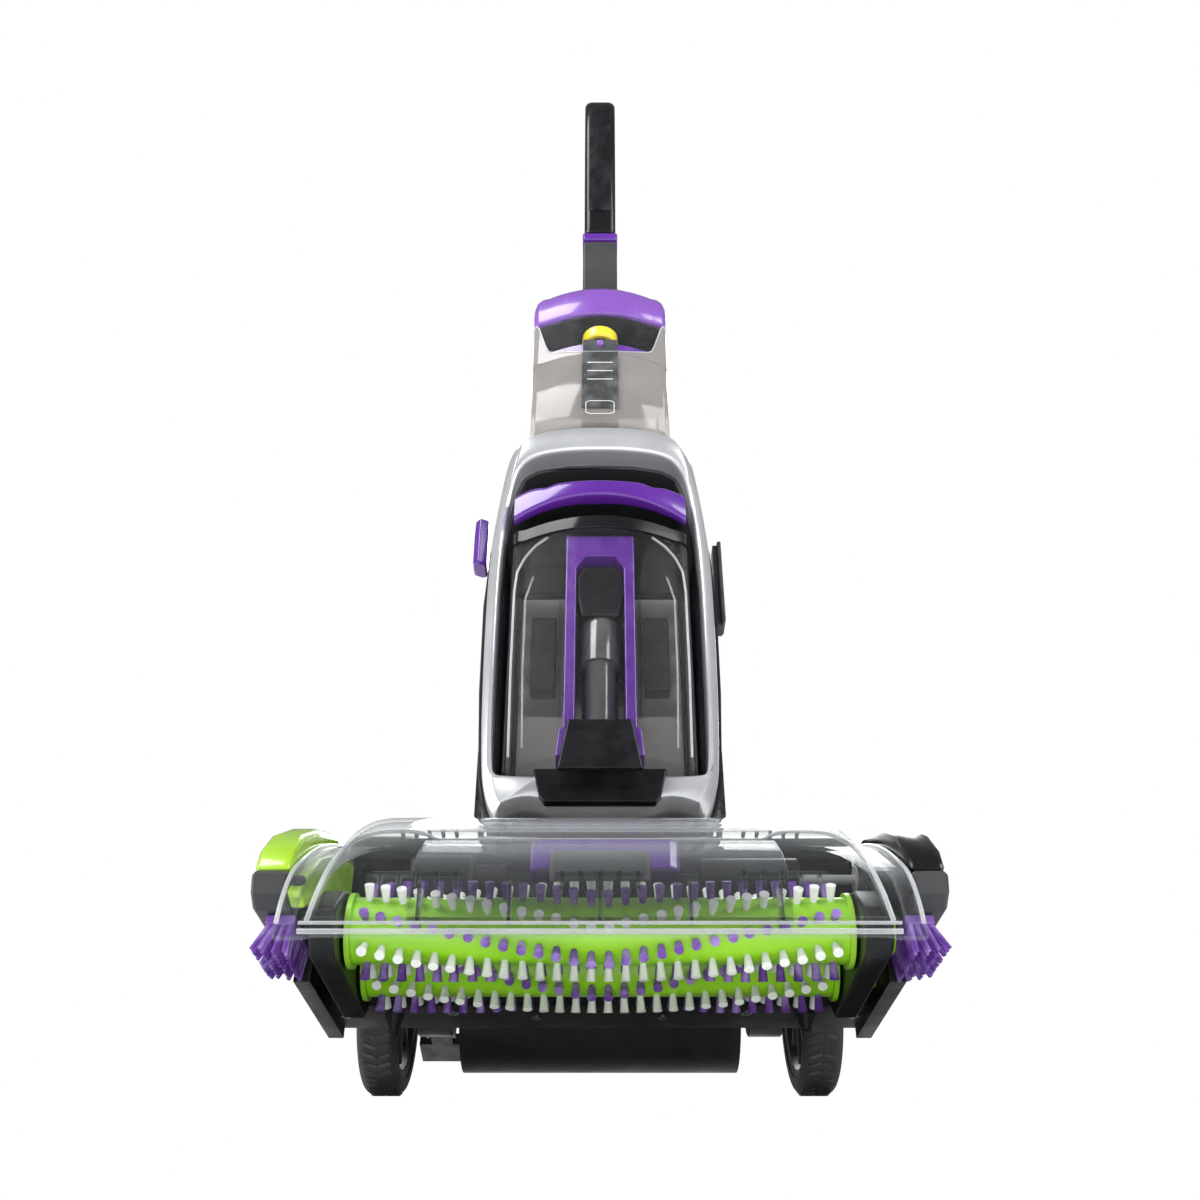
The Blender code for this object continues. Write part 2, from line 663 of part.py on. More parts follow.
def body_frame():
    """The silver arch round the tank bay, the dark shell behind it, the back panel and the bay's black liner."""
    outer = whole(FRAME_OUTER)
    inner = whole(FRAME_INNER)
    bezel = slab("silver_arch", "y", outer, 28, 58, "silver", bevel=2.5, steps=2)
    opening = slab("arch_opening", "y", inner, 20, 70)
    scoops = [cylinder(f"arch_scoop_{i}", "y", 20, 70, (x, 150), 27.5, sides=32) for i,
            x in enumerate((-52, 52))]
    cut(bezel, opening, *scoops)

    shell = slab("rear_housing", "y", outer, 58 + GAP, 186, "graphite", bevel=1.5)
    bay = slab("housing_bay", "y", inner, 50, 122)
    back = slab("housing_back", "y", inset(outer, 5), 127, 190)
    port = cylinder("suction_port", "y", 120, 130, (0, 459), 12, sides=24)
    scoops = [cylinder(f"shell_scoop_{i}", "y", 50, 101, (x, 150), 27.5, sides=32) for i,
            x in enumerate((-52, 52))]
    cut(shell, bay, back, port, *scoops)

    panel = slab("rear_panel", "y", outer, 186 + GAP, 194, "graphite", bevel=2.5)
    grooves = [box(f"panel_groove_{i}", (-60, 60), (192.5, 200), (z, z + 4)) for i,
            z in enumerate(range(372, 440, 10))]
    shelf = slab("cord_hook_lower", "x", [(190, 290), (209, 278), (209, 268), (203, 268), (203, 273),
            (190, 276)], -30, 30)
    gland = cylinder("cord_gland", "y", 190, 207, (-62, 226), 7.5, top=5, sides=20)
    join(panel, shelf, gland)
    cut(panel, *grooves)

    lining = slab("bay_liner", "y", inset(inner, GAP), 40, 121, "black")
    hollow = slab("liner_opening", "y", inset(inner, 4.0), 30, 130)
    cut(lining, hollow)

    rod("suction_duct", [(0, 158, 198), (0, 158, 430), (0, 156, 450), (0, 146, 459), (0, 131, 459)], 12.5,
            "grey", sides=3)
    plate = [(-56, 206.5), (-50, 186), (-44, 181.5), (44, 181.5), (50, 186), (56, 206.5)]
    slab("name_plate", "y", plate, 18, 27.6, "black", bevel=1.2)


def side_clips():
    """The purple clip for the hose on the left of the frame and the grey rest on its right."""
    clip = slab("hose_clip", "z", [(-100.5, 70), (-100.5, 90), (-106, 92), (-113, 88), (-113, 67),
            (-110.6, 65), (-108, 67),
                                   (-108, 80), (-104.6, 82), (-104.6, 70)], 433, 490, "purple")
    rest = slab("hose_rest", "z", [(100.9, 72), (100.9, 90), (106, 92), (108, 88), (108, 66), (104.6, 66),
            (104.6, 72)],
                375, 461, "grey")
    return clip, rest


def cord_hook():
    """The upper cord hook: a disc that turns on the back panel, with an upturned arm."""
    swivel = turned("cord_hook_upper", "y", [(194 + GAP, 0), (194 + GAP, 9), (199, 9), (199, 0)],
            (0, HOOK_Z), "graphite", steps=24)
    arm = slab("hook_arm", "x", [(195, 500), (201, 500), (203.5, 528), (209, 536), (209, 544), (203, 544),
            (195, 530)], -9, 9)
    return join(swivel, arm)


def switch(name, x, look):
    """A two-way rocker in the pocket at the back of the neck, shown with its lower end pressed in."""
    level = [(-0.4, -16), (7, -16), (4.6, 0), (7, 16), (-0.4, 16), (-3.2, 0)]
    tilt = math.radians(ROCKER_TILT)
    y, z = ROCKER_PIVOT
    profile = [(y + u * math.cos(tilt) + v * math.sin(tilt),
            z - u * math.sin(tilt) + v * math.cos(tilt)) for u, v in level]
    slab(name, "x", profile, x, x + 58, look, bevel=0.8)


# ---------- recovery tank ----------

def recovery_tank():
    floor, rim = TANK_FLOOR, TANK_RIM
    outline = plan(75, 4, 24, 112, 12)
    shell = slab("tank_shell", "z", outline, floor, rim, "clear")
    hollow = slab("tank_hollow", "z", inset(outline, 2.6), floor + 3, rim + 5)
    cut(shell, hollow)

    lid = slab("tank_lid", "z", plan(76, 2.5, 22.5, 113, 12), rim + GAP, rim + 13, "black", bevel=1.5)
    port = box("lid_port", (-20, 20), (90, 113.4), (rim + 8, 474))
    mouth = cylinder("lid_port_mouth", "y", 100, 120, (0, 459), 12, sides=24)
    join(lid, port)
    cut(lid, mouth)

    grip = slab("tank_handle", "y", [(-73, 440.6), (-64, 440.6), (-62, 455), (-54, 458), (54, 458),
            (62, 455), (64, 440.6),
                                     (73, 440.6), (74, 466), (68, 474), (-68, 474), (-74,
                                     466)], 4, 24, "purple", bevel=3.0, steps=2)
    badge = slab("tank_badge", "y", [(-31.5, 215), (31.5, 215), (24, 247), (-24, 247)], -1.5, 3.6,
            "black", bevel=0.8)
    return grip, badge


def tank_insides():
    """The purple arch with the float's rail behind it, the inlet tube with its sleeve and flared top, and the float."""
    half = [(12, 405), (19.5, 394), (19.5, 217), (34, 217), (32, 240), (28.5, 242), (28.5, 422)]
    arch = slab("tank_stack", "y", half + mirrored(half), 58, 84, "purple", bevel=1.5)
    tube = [(217, 0), (217, 15), (318, 15), (318, 18), (358, 18), (358, 16.5), (361, 15), (361, 0)]
    turned("inlet_tube", "z", tube, (0, 71), "grey", steps=32)
    flare = [(361.5, 0), (361.5, 13), (384, 17), (396, 14), (399, 8), (399, 0)]
    turned("separator_cone", "z", flare, (0, 71), "graphite", steps=8)
    guide = (0, FLOAT_Y)
    rail = cylinder("float_rail", "z", 218, 411, guide, 1.8, sides=12)
    ends = [box("float_stop", (-4, 4), (FLOAT_Y - 4, FLOAT_Y + 4), (217.5, 221.5)),
            box("float_bracket", (-4, 4), (80, FLOAT_Y + 4), (408, 412))]
    join(arch, rail, *ends)
    ring = [(222, 2.4), (222, 7), (225, 8.5), (241, 8.5), (244, 7), (244, 2.4)]
    turned("tank_float", "z", ring, guide, "grey", steps=20)


# ---------- clean-water tank ----------

def clean_tank():
    low, deck, rim = CLEAN_FLOOR, 651.0, CLEAN_RIM
    outline = plan(65, 18, 38, 112, 12)
    shell = slab("clean_shell", "z", outline, low, rim - 3, "smoke", bevel=1.2)
    hollow = slab("clean_hollow", "z", inset(outline, 3), low + 3.5, rim + 5)
    window = slab("clean_window", "y", [(-58, 660), (58, 660), (58, 690), (52, 698), (-52, 698),
            (-58, 690)], 0, 48)
    cut(shell, hollow, window)

    tray = slab("clean_deck", "z", inset(outline, 3.5), deck, 657, "purple")
    back = box("deck_back", (-46, 46), (72, 76), (655, rim - 3.6))
    join(tray, back)

    cap = slab("clean_cap", "z", plan(64.5, 18.5, 38.5, 111.5, 12), rim - 3 + GAP, CAP_TOP, "purple",
            bevel=2.0)
    slab("cap_lid", "z", inset(plan(64.5, 18.5, 38.5, 111.5, 12), 5), CAP_TOP + GAP, CAP_TOP + 7,
            "graphite", bevel=2.5)
    screw = [(657.4, 0), (657.4, 15), (668, 15), (670, 16.5), (682, 16.5), (684, 14.5), (684, 0)]
    turned("fill_cap", "z", screw, (0, 46), "yellow", steps=28)
    return cap


# ---------- handle ----------

def handle():
    stem = [(115, 562.6), (115, 758), (100, 913.6), (131, 913.6), (141, 760), (141, 562.6)]
    slab("handle_stem", "x", stem, -19, 19, "graphite", bevel=3.0, steps=2)
    slab("handle_collar", "x", [(98.5, 914), (97.5, 924.6), (132.4, 924.6), (133, 914)], -19.5, 19.5,
            "purple", bevel=1.5)
    outer = [(97, 925), (132, 925), (140, 960), (150, 1020), (152, 1066), (142, 1096), (120, 1112),
            (92, 1117), (66, 1116),
             (56, 1108), (53, 1090), (57, 1060), (68, 1010), (86, 955)]
    hole = [(106, 962), (121, 962), (133, 1022), (134, 1062), (127, 1084), (112, 1095), (92, 1098),
            (78, 1095), (73, 1084),
            (76, 1064), (86, 1016)]
    loop = slab("handle_loop", "x", outer, -17.5, 17.5, "grey", bevel=4.0, steps=2)
    cut(loop, slab("loop_hole", "x", hole, -30, 30))
    front = [(91.6, 950.6), (84.6, 961), (67, 1014.6), (56, 1062.6), (53.4, 1087.4), (55.6, 1087.4),
            (59.5, 1063), (70.4, 1015.6), (88, 962), (94.4, 950.6)]
    groove = slab("grip_recess", "x", [(96, 950), (89, 962), (71, 1016), (60, 1063.4), (56.2, 1088),
            (40, 1088), (40, 950)], -8, 8)
    cut(loop, groove)
    slab("grip_panel", "x", front, -7.6, 7.6, "black")
    pocket = cylinder("trigger_pocket", "x", -6.8, 6.8, TRIGGER_PIVOT, 7.6, sides=24)
    cut(loop, pocket)
    trigger = [(109, 1036), (112, 1020), (118, 1018), (121, 1040), (123, 1062)] + arc(TRIGGER_PIVOT, 6.6,
            -40, 180, 6) + [(111.5, 1062)]
    slab("spray_trigger", "x", trigger, -6, 6, "purple", bevel=1.0)


def make_body():
    motor_housing()
    blower()
    body_frame()
    side_clips()
    cord_hook()
    switch("power_switch", -60, "grey")
    switch("heat_switch", 2, "grey")
    recovery_tank()
    tank_insides()
    clean_tank()
    handle()


def place_pivots():
    """Empties on the axes of the joints; pieces that ride on a moving body hang from its empty."""
    axle = (AXLE_Y, AXLE_Z)
    pivot("front_roll_axis", (0, ROLL_FRONT_Y, ROLL_Z), "front_roll_core", "front_roll_bristles")
    pivot("rear_roll_axis", (0, ROLL_REAR_Y, ROLL_Z), "rear_roll_core", "rear_roll_bristles")
    pivot("motor_axis", (PULLEY_X, MOTOR_Y, MOTOR_Z), "motor_pulley")
    pivot("left_axle", (-WHEEL_IN, *axle), "tyre_left", "hub_left")
    pivot("right_axle", (WHEEL_IN, *axle), "tyre_right", "hub_right")
    pivot("pedal_axis", (-122, *PEDAL_PIN), "recline_pedal")
    upright = pivot("recline_axis", (0, *axle), *UPRIGHT_PIECES)
    movers = [
        pivot("fan_axis", (-46.5, *axle), "suction_fan"),
        pivot("power_rocker_axis", (-31, *ROCKER_PIVOT), "power_switch"),
        pivot("heat_rocker_axis", (31, *ROCKER_PIVOT), "heat_switch"),
        pivot("hook_axis", (0, 197, HOOK_Z), "cord_hook_upper"),
        pivot("trigger_axis", (0, *TRIGGER_PIVOT), "spray_trigger"),
        pivot("recovery_slide", (0, 58, TANK_FLOOR), *RECOVERY_PIECES),
        pivot("clean_slide", (0, 65, CLEAN_FLOOR), *CLEAN_PIECES),
    ]
    for mover in movers:
        mover.parent = upright
        mover.matrix_parent_inverse = Matrix.Translation(upright.location).inverted()


clear_scene()
make_foot()
make_body()
place_pivots()
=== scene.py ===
import json
import math

import bmesh
import bpy
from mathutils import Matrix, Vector


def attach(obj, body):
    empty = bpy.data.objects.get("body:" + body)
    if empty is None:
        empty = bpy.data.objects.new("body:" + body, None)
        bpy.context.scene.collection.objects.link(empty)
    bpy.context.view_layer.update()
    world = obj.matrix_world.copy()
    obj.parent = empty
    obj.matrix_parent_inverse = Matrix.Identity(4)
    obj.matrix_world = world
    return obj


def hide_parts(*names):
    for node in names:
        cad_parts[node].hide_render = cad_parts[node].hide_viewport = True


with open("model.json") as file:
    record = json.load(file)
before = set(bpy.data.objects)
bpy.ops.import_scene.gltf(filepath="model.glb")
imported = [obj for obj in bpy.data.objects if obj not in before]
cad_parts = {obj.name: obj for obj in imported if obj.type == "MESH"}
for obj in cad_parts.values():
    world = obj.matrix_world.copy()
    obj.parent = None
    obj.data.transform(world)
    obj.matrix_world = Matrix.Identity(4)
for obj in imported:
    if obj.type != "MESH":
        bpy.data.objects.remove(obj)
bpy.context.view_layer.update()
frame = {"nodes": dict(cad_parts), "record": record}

mm = 0.001
record = frame["record"]
bodyOf = {node: body for body, nodes in record["behaviour"]["bodies"].items() for node in nodes}
slotOf = {row["node"]: row["material_slot"] for row in record["subparts"]}


# Small helpers

def asMesh(piece):
    # modifiers become plain mesh, so nothing live is left on the piece
    graph = bpy.context.evaluated_depsgraph_get()
    mesh = bpy.data.meshes.new_from_object(piece.evaluated_get(graph), depsgraph=graph)
    piece.modifiers.clear()
    piece.data = mesh
    return piece


sharpFrom = {"new": 40, "toRound": 28, "rounded": 62}  # edge angles in degrees


def newPiece(name, shape, finish):
    mesh = bpy.data.meshes.new(name)
    shape.to_mesh(mesh)
    shape.free()
    mesh.materials.append(finish)
    mesh.shade_smooth()
    mesh.set_sharp_from_angle(angle=math.radians(sharpFrom["new"]))
    piece = bpy.data.objects.new(name, mesh)
    bpy.context.scene.collection.objects.link(piece)
    return piece


def rounded(piece, width, segments=2):
    bevel = piece.modifiers.new("rounding", "BEVEL")
    bevel.width = width * mm
    bevel.segments = segments
    bevel.limit_method = "ANGLE"
    bevel.angle_limit = math.radians(sharpFrom["toRound"])
    bevel.use_clamp_overlap = True
    piece.data.shade_smooth()
    asMesh(piece)
    piece.data.set_sharp_from_angle(angle=math.radians(sharpFrom["rounded"]))
    even = piece.modifiers.new("even shading", "WEIGHTED_NORMAL")
    even.keep_sharp = True
    return asMesh(piece)


def place(piece, body, slot, *nodes):
    if nodes:
        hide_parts(*nodes)
    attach(piece, body)
    return piece


def refined(node, finish, width=1.0, segments=2):
    # a copy of the frame's solid with its edges rounded
    shape = bmesh.new()
    shape.from_mesh(frame["nodes"][node].data)
    bmesh.ops.remove_doubles(shape, verts=shape.verts, dist=4e-6)
    piece = newPiece("fine_" + node, shape, finish)
    if width:
        rounded(piece, width, segments)
    return place(piece, bodyOf[node], slotOf[node], node)


def block(name, x, y, z, finish, width=0.8, segments=2):
    shape = bmesh.new()
    low = Vector((x[0], y[0], z[0])) * mm
    high = Vector((x[1], y[1], z[1])) * mm
    bmesh.ops.create_cube(shape, size=1.0)
    bmesh.ops.scale(shape, vec=high - low, verts=shape.verts)
    bmesh.ops.translate(shape, vec=(low + high) / 2, verts=shape.verts)
    piece = newPiece(name, shape, finish)
    return rounded(piece, width, segments) if width else piece


def turnedShape(name, axis, profile, centre, finish, steps=64):
    # profile rows are (distance along the axis, radius), and the ends meet unless they are on the axis
    shape = bmesh.new()
    spot = {
        "x": lambda a, r, t: (a, centre[0] + r * math.cos(t), centre[1] + r * math.sin(t)),
        "y": lambda a, r, t: (centre[0] + r * math.cos(t), a, centre[1] + r * math.sin(t)),
        "z": lambda a, r, t: (centre[0] + r * math.cos(t), centre[1] + r * math.sin(t), a),
    }[axis]
    rings = []
    for a, r in profile:
        count = 1 if r < 0.01 else steps
        turns = [2 * math.pi * i / steps for i in range(count)]
        rings.append([shape.verts.new(Vector(spot(a, r, t)) * mm) for t in turns])
    closed = profile[0][1] > 0.01
    for first, second in zip(rings, rings[1:] + (rings[:1] if closed else [])):
        for i in range(steps):
            j = (i + 1) % steps
            corners = [first[i % len(first)], first[j % len(first)],
                       second[j % len(second)], second[i % len(second)]]
            unique = list(dict.fromkeys(corners))
            if len(unique) > 2:
                shape.faces.new(unique)
    bmesh.ops.recalc_face_normals(shape, faces=shape.faces)
    return newPiece(name, shape, finish)


def lofted(name, rings, finish, closed=False):
    shape = bmesh.new()
    rows = [[shape.verts.new(Vector(p) * mm) for p in ring] for ring in rings]
    for first, second in zip(rows, rows[1:] + (rows[:1] if closed else [])):
        for i in range(len(first)):
            j = (i + 1) % len(first)
            shape.faces.new((first[i], first[j], second[j], second[i]))
    if not closed:
        shape.faces.new(rows[0][::-1])
        shape.faces.new(rows[-1])
    bmesh.ops.recalc_face_normals(shape, faces=shape.faces)
    return newPiece(name, shape, finish)


def plate(name, axis, outline, low, high, finish, width=0.6, segments=2):
    # a flat outline given thickness: (y, z) on x, (x, z) on y, (x, y) on z
    spot = {
        "x": lambda u, v, d: (d, u, v),
        "y": lambda u, v, d: (u, d, v),
        "z": lambda u, v, d: (u, v, d),
    }[axis]
    shape = bmesh.new()
    ends = [[shape.verts.new(Vector(spot(u, v, d)) * mm) for u, v in outline] for d in (low, high)]
    for i in range(len(outline)):
        j = (i + 1) % len(outline)
        shape.faces.new((ends[0][i], ends[0][j], ends[1][j], ends[1][i]))
    shape.faces.new(ends[0][::-1])
    shape.faces.new(ends[1])
    bmesh.ops.recalc_face_normals(shape, faces=shape.faces)
    piece = newPiece(name, shape, finish)
    return rounded(piece, width, segments) if width else piece


def tube(name, points, radius, finish, sides=6, loop=False):
    curve = bpy.data.curves.new(name, "CURVE")
    curve.dimensions = "3D"
    curve.bevel_depth = radius * mm
    curve.bevel_resolution = sides
    curve.use_fill_caps = not loop
    line = curve.splines.new("POLY")
    line.points.add(len(points) - 1)
    line.use_cyclic_u = loop
    for point, spot in zip(line.points, points):
        point.co = (*(Vector(spot) * mm), 1.0)
    holder = bpy.data.objects.new(name + "_path", curve)
    bpy.context.scene.collection.objects.link(holder)
    graph = bpy.context.evaluated_depsgraph_get()
    mesh = bpy.data.meshes.new_from_object(holder.evaluated_get(graph))
    bpy.data.objects.remove(holder)
    mesh.materials.clear()
    mesh.materials.append(finish)
    shape = bmesh.new()
    shape.from_mesh(mesh)
    bmesh.ops.remove_doubles(shape, verts=shape.verts, dist=1e-6)
    bmesh.ops.recalc_face_normals(shape, faces=shape.faces)
    return newPiece(name, shape, finish)


def eased(a, b, t):
    t = max(0.0, min(1.0, t))
    return a + (b - a) * t * t * (3 - 2 * t)


# Surface finishes

def link(tree, source, target):
    tree.links.new(source, target)


def addNode(tree, kind, **settings):
    made = tree.nodes.new(kind)
    for key, value in settings.items():
        setattr(made, key, value)
    return made


def noise(tree, scale, detail=3.0, stretch=None):
    place3d = addNode(tree, "ShaderNodeTexCoord").outputs["Object"]
    if stretch:
        mapping = addNode(tree, "ShaderNodeMapping")
        mapping.inputs["Scale"].default_value = stretch
        link(tree, place3d, mapping.inputs["Vector"])
        place3d = mapping.outputs["Vector"]
    made = addNode(tree, "ShaderNodeTexNoise")
    made.inputs["Scale"].default_value = scale
    made.inputs["Detail"].default_value = detail
    link(tree, place3d, made.inputs["Vector"])
    return made.outputs["Fac"]


def spread(tree, source, low, high, fromLow=0.3, fromHigh=0.7):
    made = addNode(tree, "ShaderNodeMapRange")
    made.inputs["From Min"].default_value = fromLow
    made.inputs["From Max"].default_value = fromHigh
    made.inputs["To Min"].default_value = low
    made.inputs["To Max"].default_value = high
    link(tree, source, made.inputs["Value"])
    return made.outputs["Result"]


def blendColours(tree, amount, first, second):
    made = addNode(tree, "ShaderNodeMix", data_type="RGBA")
    link(tree, amount, made.inputs["Factor"])
    for socket, value in ((made.inputs["A"], first), (made.inputs["B"], second)):
        if isinstance(value, tuple):
            socket.default_value = (*value, 1.0)
        else:
            link(tree, value, socket)
    return made.outputs["Result"]


def times(tree, first, second):
    made = addNode(tree, "ShaderNodeMath", operation="MULTIPLY")
    link(tree, first, made.inputs[0])
    if isinstance(second, float):
        made.inputs[1].default_value = second
    else:
        link(tree, second, made.inputs[1])
    return made.outputs["Value"]


def opaqueFinish(name, colour, shade, rough, grain=(900.0, 0.12), wear=((0.5, 0.5, 0.5), 0.3), metallic=0.0,
                 coat=0.0, flakes=0.0, specular=0.5, streak=None):
    made = bpy.data.materials.new(name)
    made.use_nodes = True
    tree = made.node_tree
    shader = tree.nodes["Principled BSDF"]
    cloud = noise(tree, 16.0, 4.0)
    base = blendColours(tree, spread(tree, cloud, 0.0, 1.0), colour, shade)
    if flakes:
        sparkle = spread(tree, noise(tree, 5200.0, 1.0), 0.0, flakes, 0.58, 0.72)
        base = blendColours(tree, sparkle, base, (0.95, 0.96, 1.0))
    # rubbed edges, where the surface turns sharply
    edge = addNode(tree, "ShaderNodeNewGeometry").outputs["Pointiness"]
    turned = spread(tree, edge, 0.0, wear[1], 0.53, 0.62)
    rubbed = times(tree, turned, spread(tree, noise(tree, 70.0, 5.0), 0.0, 1.0, 0.42, 0.62))
    base = blendColours(tree, rubbed, base, wear[0])
    link(tree, base, shader.inputs["Base Color"])
    scuff = noise(tree, 55.0, 6.0, streak or (1.0, 1.0, 0.35))
    link(tree, spread(tree, scuff, rough[0], rough[1]), shader.inputs["Roughness"])
    shader.inputs["Metallic"].default_value = metallic
    shader.inputs["Specular IOR Level"].default_value = specular
    if coat:
        shader.inputs["Coat Weight"].default_value = coat
        shader.inputs["Coat Roughness"].default_value = 0.06
    bump = addNode(tree, "ShaderNodeBump")
    bump.inputs["Strength"].default_value = grain[1]
    bump.inputs["Distance"].default_value = 0.0004
    link(tree, noise(tree, grain[0], 2.0), bump.inputs["Height"])
    link(tree, bump.outputs["Normal"], shader.inputs["Normal"])
    return made


def clearFinish(name, colour, cover, rough, tint=(0.97, 0.98, 0.98), power=2.2):
    # seen straight on it lets most light by, and it closes up towards its outline
    made = bpy.data.materials.new(name)
    made.use_nodes = True
    tree = made.node_tree
    shader = tree.nodes["Principled BSDF"]
    haze = noise(tree, 30.0, 5.0)
    base = blendColours(tree, spread(tree, haze, 0.0, 1.0), colour, tuple(0.86 * c for c in colour))
    link(tree, base, shader.inputs["Base Color"])
    smear = noise(tree, 90.0, 6.0, (0.3, 1.0, 1.0))
    link(tree, spread(tree, smear, rough[0], rough[1]), shader.inputs["Roughness"])
    shader.inputs["Coat Weight"].default_value = 0.6
    shader.inputs["Coat Roughness"].default_value = 0.04
    bump = addNode(tree, "ShaderNodeBump")
    bump.inputs["Strength"].default_value = 0.03
    bump.inputs["Distance"].default_value = 0.0004
    link(tree, noise(tree, 260.0, 2.0), bump.inputs["Height"])
    link(tree, bump.outputs["Normal"], shader.inputs["Normal"])
    through = addNode(tree, "ShaderNodeBsdfTransparent")
    through.inputs["Color"].default_value = (*tint, 1.0)
    facing = addNode(tree, "ShaderNodeLayerWeight")
    facing.inputs["Blend"].default_value = 0.5
    bent = addNode(tree, "ShaderNodeMath", operation="POWER")
    bent.inputs[1].default_value = power
    link(tree, facing.outputs["Facing"], bent.inputs[0])
    amount = spread(tree, bent.outputs["Value"], cover[0], cover[1], 0.0, 1.0)
    mix = addNode(tree, "ShaderNodeMixShader")
    link(tree, amount, mix.inputs["Fac"])
    link(tree, through.outputs["BSDF"], mix.inputs[1])
    link(tree, shader.outputs["BSDF"], mix.inputs[2])
    link(tree, mix.outputs["Shader"], tree.nodes["Material Output"].inputs["Surface"])
    return made


smoothGrain = (700.0, 0.03)  # scale and strength

glossBlack = opaqueFinish(
    "gloss black moulding", (0.006, 0.006, 0.007), (0.010, 0.010, 0.012), (0.14, 0.26), coat=0.12,
    specular=0.25, grain=smoothGrain, wear=((0.10, 0.10, 0.11), 0.35))
satinBlack = opaqueFinish(
    "satin black moulding", (0.009, 0.009, 0.010), (0.015, 0.015, 0.017), (0.32, 0.46), specular=0.25,
    wear=((0.11, 0.11, 0.12), 0.4))
grainGraphite = opaqueFinish(
    "grained graphite", (0.026, 0.027, 0.029), (0.038, 0.039, 0.042), (0.40, 0.58),
    grain=(1100.0, 0.22), wear=((0.20, 0.20, 0.21), 0.4))
paintSilver = opaqueFinish(
    "silver paint", (0.66, 0.67, 0.69), (0.72, 0.73, 0.75), (0.28, 0.36), metallic=0.65, coat=0.3,
    flakes=0.20, grain=(1500.0, 0.03), wear=((0.85, 0.85, 0.86), 0.0))
glossViolet = opaqueFinish(
    "gloss violet moulding", (0.085, 0.014, 0.250), (0.110, 0.022, 0.300), (0.14, 0.26), coat=0.6,
    grain=smoothGrain, wear=((0.34, 0.20, 0.60), 0.45))
lilacBand = opaqueFinish(
    "lilac moulding", (0.190, 0.070, 0.400), (0.230, 0.095, 0.450), (0.18, 0.30), coat=0.6,
    grain=smoothGrain, wear=((0.55, 0.45, 0.80), 0.4))
glossLime = opaqueFinish(
    "gloss lime moulding", (0.340, 0.620, 0.012), (0.420, 0.720, 0.030), (0.14, 0.28), coat=0.6,
    grain=smoothGrain, wear=((0.75, 0.95, 0.35), 0.45))
rollGreen = opaqueFinish(
    "roll core green", (0.240, 0.560, 0.010), (0.320, 0.660, 0.020), (0.26, 0.40), coat=0.3,
    grain=(900.0, 0.06), wear=((0.60, 0.85, 0.30), 0.4))
glossYellow = opaqueFinish(
    "gloss yellow moulding", (0.86, 0.66, 0.010), (0.92, 0.76, 0.030), (0.18, 0.30), coat=0.5,
    grain=smoothGrain, wear=((1.0, 0.95, 0.45), 0.4))
warmGrey = opaqueFinish(
    "mid grey moulding", (0.27, 0.27, 0.28), (0.34, 0.34, 0.35), (0.34, 0.48),
    wear=((0.50, 0.50, 0.50), 0.4))
brushedSteel = opaqueFinish(
    "brushed steel", (0.48, 0.49, 0.51), (0.58, 0.59, 0.61), (0.20, 0.36), metallic=1.0,
    streak=(1.0, 0.1, 0.1), grain=(1400.0, 0.05), wear=((0.75, 0.75, 0.76), 0.3))
softRubber = opaqueFinish(
    "soft rubber", (0.022, 0.022, 0.024), (0.036, 0.036, 0.038), (0.56, 0.74), grain=(1600.0, 0.30),
    wear=((0.11, 0.11, 0.11), 0.4), specular=0.35)
nylonViolet = opaqueFinish(
    "violet nylon", (0.100, 0.024, 0.270), (0.160, 0.045, 0.370), (0.34, 0.52), grain=(2600.0, 0.5),
    wear=((0.55, 0.40, 0.85), 0.5), streak=(1.0, 1.0, 1.0))
nylonWhite = opaqueFinish(
    "white nylon", (0.76, 0.76, 0.76), (0.88, 0.88, 0.87), (0.34, 0.52), grain=(2600.0, 0.5),
    wear=((0.95, 0.95, 0.95), 0.4), streak=(1.0, 1.0, 1.0))
clearShell = clearFinish(
    "clear shell", (0.70, 0.72, 0.75), (0.012, 0.80), (0.03, 0.08), tint=(0.99, 0.995, 0.995),
    power=5.0)
# whitish, mostly opaque clear finish for beads along thick clear edges: partly the real thick edge, partly a
# painted highlight line
clearEdgePaintedHighlight = clearFinish(
    "clear edge with painted highlight", (0.82, 0.84, 0.86), (0.30, 0.95), (0.03, 0.08), tint=(0.97, 0.98, 0.98),
    power=1.6)
smokeShell = clearFinish(
    "smoke shell", (0.42, 0.41, 0.41), (0.015, 0.75), (0.04, 0.10), tint=(0.97, 0.967, 0.965),
    power=3.5)
greyShell = clearFinish(
    "grey tank shell", (0.42, 0.395, 0.375), (0.50, 0.90), (0.08, 0.18), tint=(0.80, 0.78, 0.76),
    power=1.4)
smokeTube = opaqueFinish(
    "smoked tube", (0.085, 0.083, 0.08), (0.12, 0.117, 0.114), (0.14, 0.26), metallic=0.2, coat=0.6,
    grain=(700.0, 0.02), streak=(0.2, 0.2, 1.0))
tankGrey = opaqueFinish(
    "pale tank wall", (0.40, 0.385, 0.37), (0.52, 0.50, 0.485), (0.20, 0.34), coat=0.3,
    grain=smoothGrain)
print("finishes ready")


# Geometry Nodes: small parts repeated along rows, rounds and surfaces

def newTree(name, inputs):
    tree = bpy.data.node_groups.new(name, "GeometryNodeTree")
    tree.interface.new_socket("Geometry", in_out="INPUT", socket_type="NodeSocketGeometry")
    for label, kind, value in inputs:
        socket = tree.interface.new_socket(label, in_out="INPUT", socket_type="NodeSocket" + kind)
        if value is not None:
            socket.default_value = value
    tree.interface.new_socket("Material", in_out="INPUT", socket_type="NodeSocketMaterial")
    tree.interface.new_socket("Geometry", in_out="OUTPUT", socket_type="NodeSocketGeometry")
    return tree, addNode(tree, "NodeGroupInput").outputs, addNode(tree, "NodeGroupOutput").inputs


